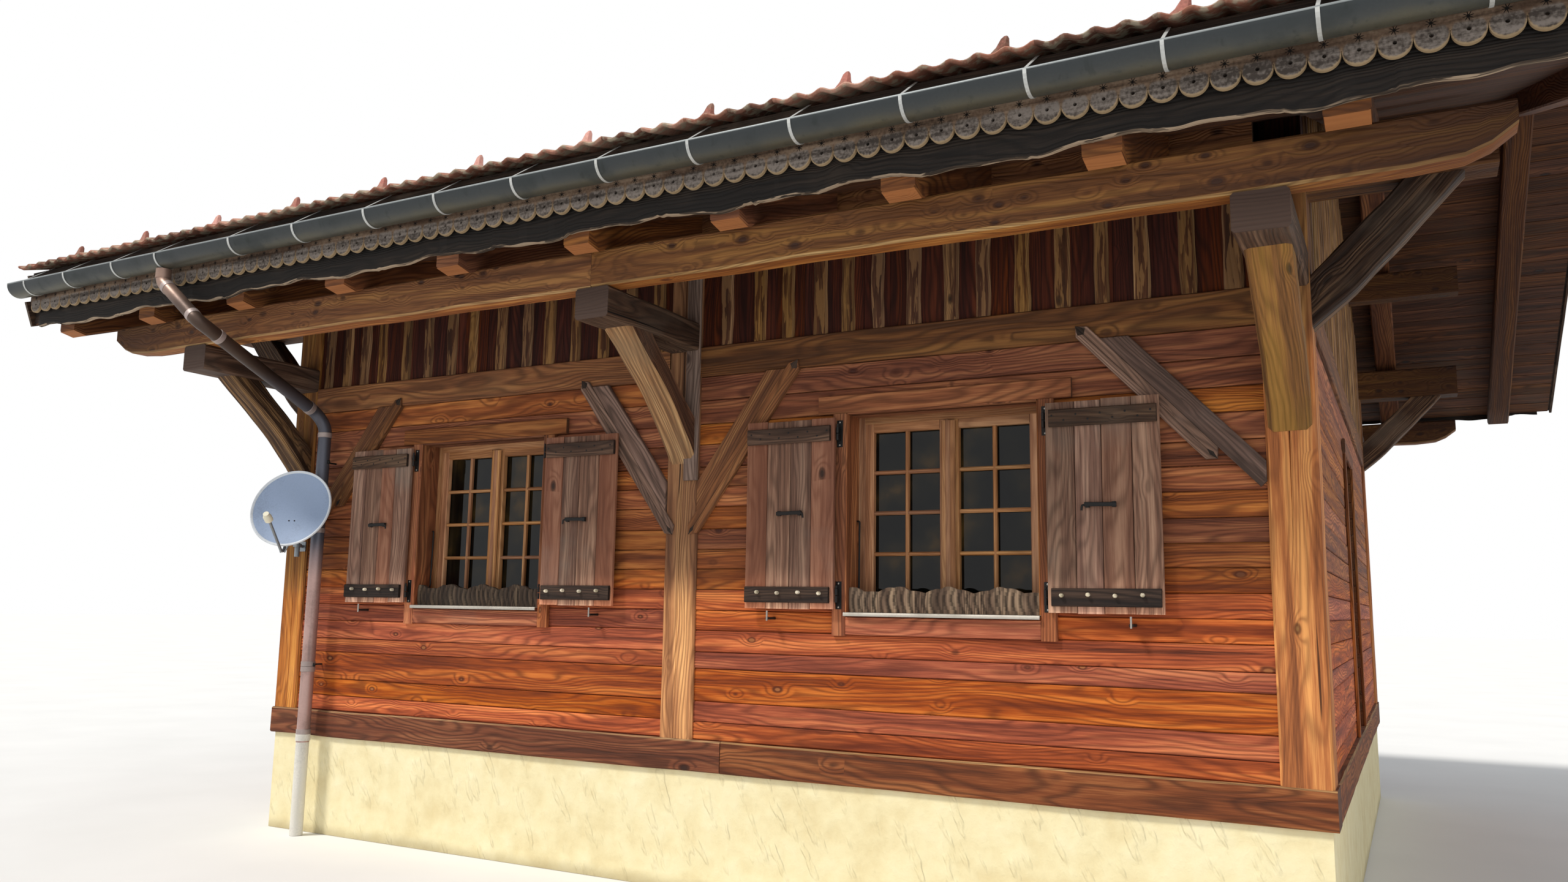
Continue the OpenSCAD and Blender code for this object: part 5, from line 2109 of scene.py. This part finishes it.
@dataclass
class DishSet:
  """Dish on its short mast, with the feed arm and its head."""

  centre: tuple[float, float, float] = (-3.44, -0.335, 2.49)
  radius: float = 0.32
  turn: float = 25.0
  tilt: float = 18.0
  mast: tuple[float, float, float] = (-3.585, -0.165, 2.14)

  @property
  def frame(self) -> Matrix:
    """Frame of the dish, its face along +Z."""
    return (Side.FRONT.frame @ Matrix.Translation(self.centre)
            @ Matrix.Rotation(radians(self.turn), 4, "Z")
            @ Matrix.Rotation(radians(90 - self.tilt), 4, "X"))

  def dish(self) -> None:
    """Build the reflector with its rolled rim and two screws."""
    s = Shell(101, self.frame)
    r = self.radius
    face = [(0.002, 0.0), (0.06, 0.003), (0.11, 0.007), (0.155, 0.015), (0.2, 0.026),
            (0.25, 0.043), (0.3, 0.062)]
    rim = [(r - 0.012, 0.069), (r - 0.004, 0.072), (r, 0.066), (r - 0.001, 0.058)]
    back = [(0.3, 0.055), (0.25, 0.037), (0.2, 0.02), (0.11, 0.001), (0.002, -0.006)]
    for line, slot in ((face, 0), ([face[-1], *rim, back[0]], 1), (back, 0)):
      s.lathe(line, 64, slots=(slot,), caps=False)
    for x in (-0.022, 0.022):
      s.dome((x, -0.085, 0.006), 0.006, (0, 0, 1), slots=(2,))
    s.show("dish_reflector", DISH, DISH_RIM, IRON, node="satellite_dish", sharp=60)

  def bracket(self) -> None:
    """Build the mast, its arms, the feed arm, the feed head and the clamp."""
    s = Shell(102, Side.FRONT.frame)
    r, (mx, my, mz) = self.radius, Vector(self.mast)
    s.tube([Vector(self.mast) + Vector((0, 0, dz)) for dz in (0, 0.466, 0.47)],
           [0.02, 0.02, 0.016], 20)
    for dz in (0.09, 0.39):
      z = mz + dz
      s.tube([(mx, my, z), (-3.7, -0.029, z)], 0.012, 14)
      s.slab((-3.74, -0.028, z - 0.04), (-3.66, -0.02, z + 0.04), 2, 0.001, 0)
      s.slab((mx - 0.026, my - 0.026, z - 0.012), (mx + 0.026, my + 0.026, z + 0.012), 2, 0.006, 0)
    s.tube([(mx, my, mz + 0.3), Vector(self.centre) + Vector((-0.022, 0.05, -0.015))], 0.024)
    s.place = self.frame
    s.lathe([(0.045, -0.066), (0.047, -0.06), (0.047, -0.014), (0.04, -0.008)], 24)
    s.tube(rounded([(0, -0.03, -0.05), (0, -r - 0.05, 0.03), (0, -0.205, 0.35)], 0.05, 5),
           0.011, 12)
    s.lathe([(0.018, 0.0), (0.031, 0.008), (0.031, 0.05), (0.022, 0.07), (0.016, 0.072)], 20,
            Matrix.Translation((0, -0.218, 0.325)) @ Matrix.Rotation(-0.34, 4, "X"), slots=(1,))
    s.tube([(0, -0.2, 0.36), (0, -0.19, 0.4)], 0.022, slots=(1,))
    for x in (-0.05, 0.05):
      s.tube([(x, -r * 0.86, 0.045), (x * 0.3, -r - 0.04, 0.03)], 0.006, 8)
    s.show("dish_mount", GALVANISED, CREAM, node="dish_bracket", sharp=45)

  def build(self) -> None:
    """Build the dish and its mount."""
    self.dish()
    self.bracket()


@dataclass
class Entrance:
  """Plank door on the right gable, with its frame, straps and handle."""

  half: float = 0.48
  low: float = 0.94
  height: float = 2.05
  jamb: float = 0.06
  planks: int = 6

  def build(self) -> None:
    """Build the door and its frame."""
    h, low, top, inner = self.half, self.low, self.low + self.height, self.half - self.jamb
    z0, z1 = low + 0.03, top - self.jamb
    wide = inner * 2 / self.planks
    s = Shell(111, Side.RIGHT.frame)
    for k in range(self.planks):
      x = -h + self.jamb + wide * k
      s.slab((x + 0.001, 0.07, z0), (x + wide - 0.001, 0.115, z1), 2, 0.005)
    s.show("door_planks", PLANK_DOOR, node="entrance_door")
    s = Shell(112, Side.RIGHT.frame)
    for sx in (-1, 1):
      s.slab((sx * h, 0.04, low), (sx * inner, 0.16, top), 2, 0.005)
      s.slab((sx * h, -0.02, low), (sx * (h + 0.09), 0.0, top + 0.1), 2, 0.004)
    s.slab((-inner, 0.04, low), (inner, 0.16, z0), 0)
    s.slab((-inner, 0.04, z1), (inner, 0.16, top), 0, 0.005)
    s.slab((-h - 0.12, -0.022, top), (h + 0.12, 0.0, top + 0.11), 0, 0.005)
    s.show("door_frame_boards", CASING, node="door_frame")
    s = Shell(113, Side.RIGHT.frame)
    for z in (z0 + 0.3, z1 - 0.3):
      s.slab((-h + 0.07, 0.064, z - 0.02), (h - 0.2, 0.07, z + 0.02), 0, 0.002, 0.001)
      for k in range(5):
        s.dome((-h + 0.13 + 0.13 * k, 0.064, z), 0.008)
    x = h - 0.12
    s.slab((x - 0.02, 0.064, 1.9), (x + 0.02, 0.07, 2.12), 2, 0.003, 0)
    s.tube(rounded([(x, 0.066, 2.04), (x, 0.03, 2.04), (x - 0.11, 0.03, 2.035)], 0.015, 4),
           0.008, 10)
    s.show("door_ironwork", IRON)


@dataclass
class KeptNodes:
  """Frame nodes that stay in view and only get a finish."""

  looks: tuple[tuple[str, Finish], ...] = (
      ("plinth", RENDER), ("floor", FLOORING), ("front_roof_deck", BUILD_UP),
      ("back_roof_deck", BUILD_UP), ("eaves_valances", FRET), ("gutters", ZINC),
      ("window_glass", PANE))

  def build(self, nodes: dict[str, bpy.types.Object]) -> None:
    """Dress the nodes.

    Args:
        nodes: Frame nodes by name.
    """
    for name, finish in self.looks:
      mesh = nodes[name].data
      mesh.materials.clear()
      mesh.materials.append(finish.material())
      LOG.info("%s: dressed", name)


@dataclass
class StudioSet:
  """Camera at the photograph's place, soft lamps, white background and pale floor."""

  eye: tuple[float, float, float] = (4.305, -10.0, 1.79)
  yaw: float = 28.56
  tip: float = 8.24
  roll: float = 0.907
  lens: float = 26.54
  reach: float = 120.0
  ambient: float = 0.55

  def camera(self) -> None:
    """Make the camera."""
    yaw, tip, roll = (radians(a) for a in (self.yaw, self.tip, self.roll))
    ahead = Vector((-sin(yaw) * cos(tip), cos(yaw) * cos(tip), sin(tip)))
    right = Vector((cos(yaw), sin(yaw), 0))
    up = right.cross(ahead)
    x = right * cos(roll) + up * sin(roll)
    y = up * cos(roll) - right * sin(roll)
    data = bpy.data.cameras.new("camera")
    data.sensor_width, data.lens = 36.0, self.lens
    data.clip_start, data.clip_end = 0.1, 500.0
    made = add_object("camera", data)
    turn = Matrix((x, y, -ahead)).transposed().to_4x4()
    made.matrix_world = Matrix.Translation(self.eye) @ turn
    bpy.context.scene.camera = made

  def lamp(self, name: str, towards: Spot, power: float, soft: float, colour: Colour) -> None:
    """Add a soft distant lamp.

    Args:
        name: Its name.
        towards: Direction in which it shines.
        power: Its strength.
        soft: Its width in degrees.
        colour: Its colour.
    """
    data = bpy.data.lights.new(name, "SUN")
    data.energy, data.angle, data.color = power, radians(soft), colour
    made = add_object(name, data)
    made.rotation_mode = "QUATERNION"
    made.rotation_quaternion = Vector(towards).to_track_quat("-Z", "Y")

  def sky(self) -> None:
    """Make the world: white to the camera, soft ambient light to the object."""
    world = bpy.data.worlds.new("studio")
    bpy.context.scene.world = world
    world.use_nodes = True
    g = Graph(world.node_tree)
    path = g.node("ShaderNodeLightPath", {}).outputs
    seen = g.math("MAXIMUM", path["Is Camera Ray"], path["Is Glossy Ray"])
    seen = g.math("MAXIMUM", seen, path["Is Transmission Ray"])
    soft = g.node("ShaderNodeBackground", {"Color": (0.93, 0.96, 1.0), "Strength": self.ambient})
    white = g.node("ShaderNodeBackground", {"Color": (1.0, 1.0, 1.0), "Strength": 1.0})
    mix = g.node("ShaderNodeMixShader", {0: seen, 1: soft.outputs[0], 2: white.outputs[0]})
    g.node("ShaderNodeOutputWorld", {"Surface": mix.outputs[0]})

  def floor(self) -> None:
    """Make the floor."""
    mesh = bpy.data.meshes.new("studio_floor")
    corners = ((-1, -1), (1, -1), (1, 1), (-1, 1))
    mesh.from_pydata([(x * self.reach, y * self.reach, -0.002) for x, y in corners], [],
                     [(0, 1, 2, 3)])
    mesh.materials.append(STUDIO.material())
    add_object("studio_floor", mesh)

  def build(self) -> None:
    """Make the whole set."""
    self.camera()
    self.lamp("key", (0.42, 0.52, -0.85), 2.7, 9.0, (1.0, 0.96, 0.9))
    self.lamp("fill", (-0.6, 0.7, -0.25), 0.45, 60.0, (1.0, 1.0, 1.0))
    self.sky()
    self.floor()
    bpy.context.scene.view_settings.view_transform = "Standard"


def main() -> None:
  """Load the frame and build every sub-assembly."""
  logging.basicConfig(level=logging.INFO, format="%(name)s %(message)s")
  noise.seed_set(SEED)
  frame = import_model()
  StudioSet().build()
  KeptNodes().build(frame["nodes"])
  for part in (PlankWalls(), PostFrame(), Brackets(), RoofTimbers(), TileRoof(), EavesTrim(),
               RainGoods(), Windows(), Shutters(), DishSet(), Entrance()):
    part.build()


if __name__ == "__main__":
  main()
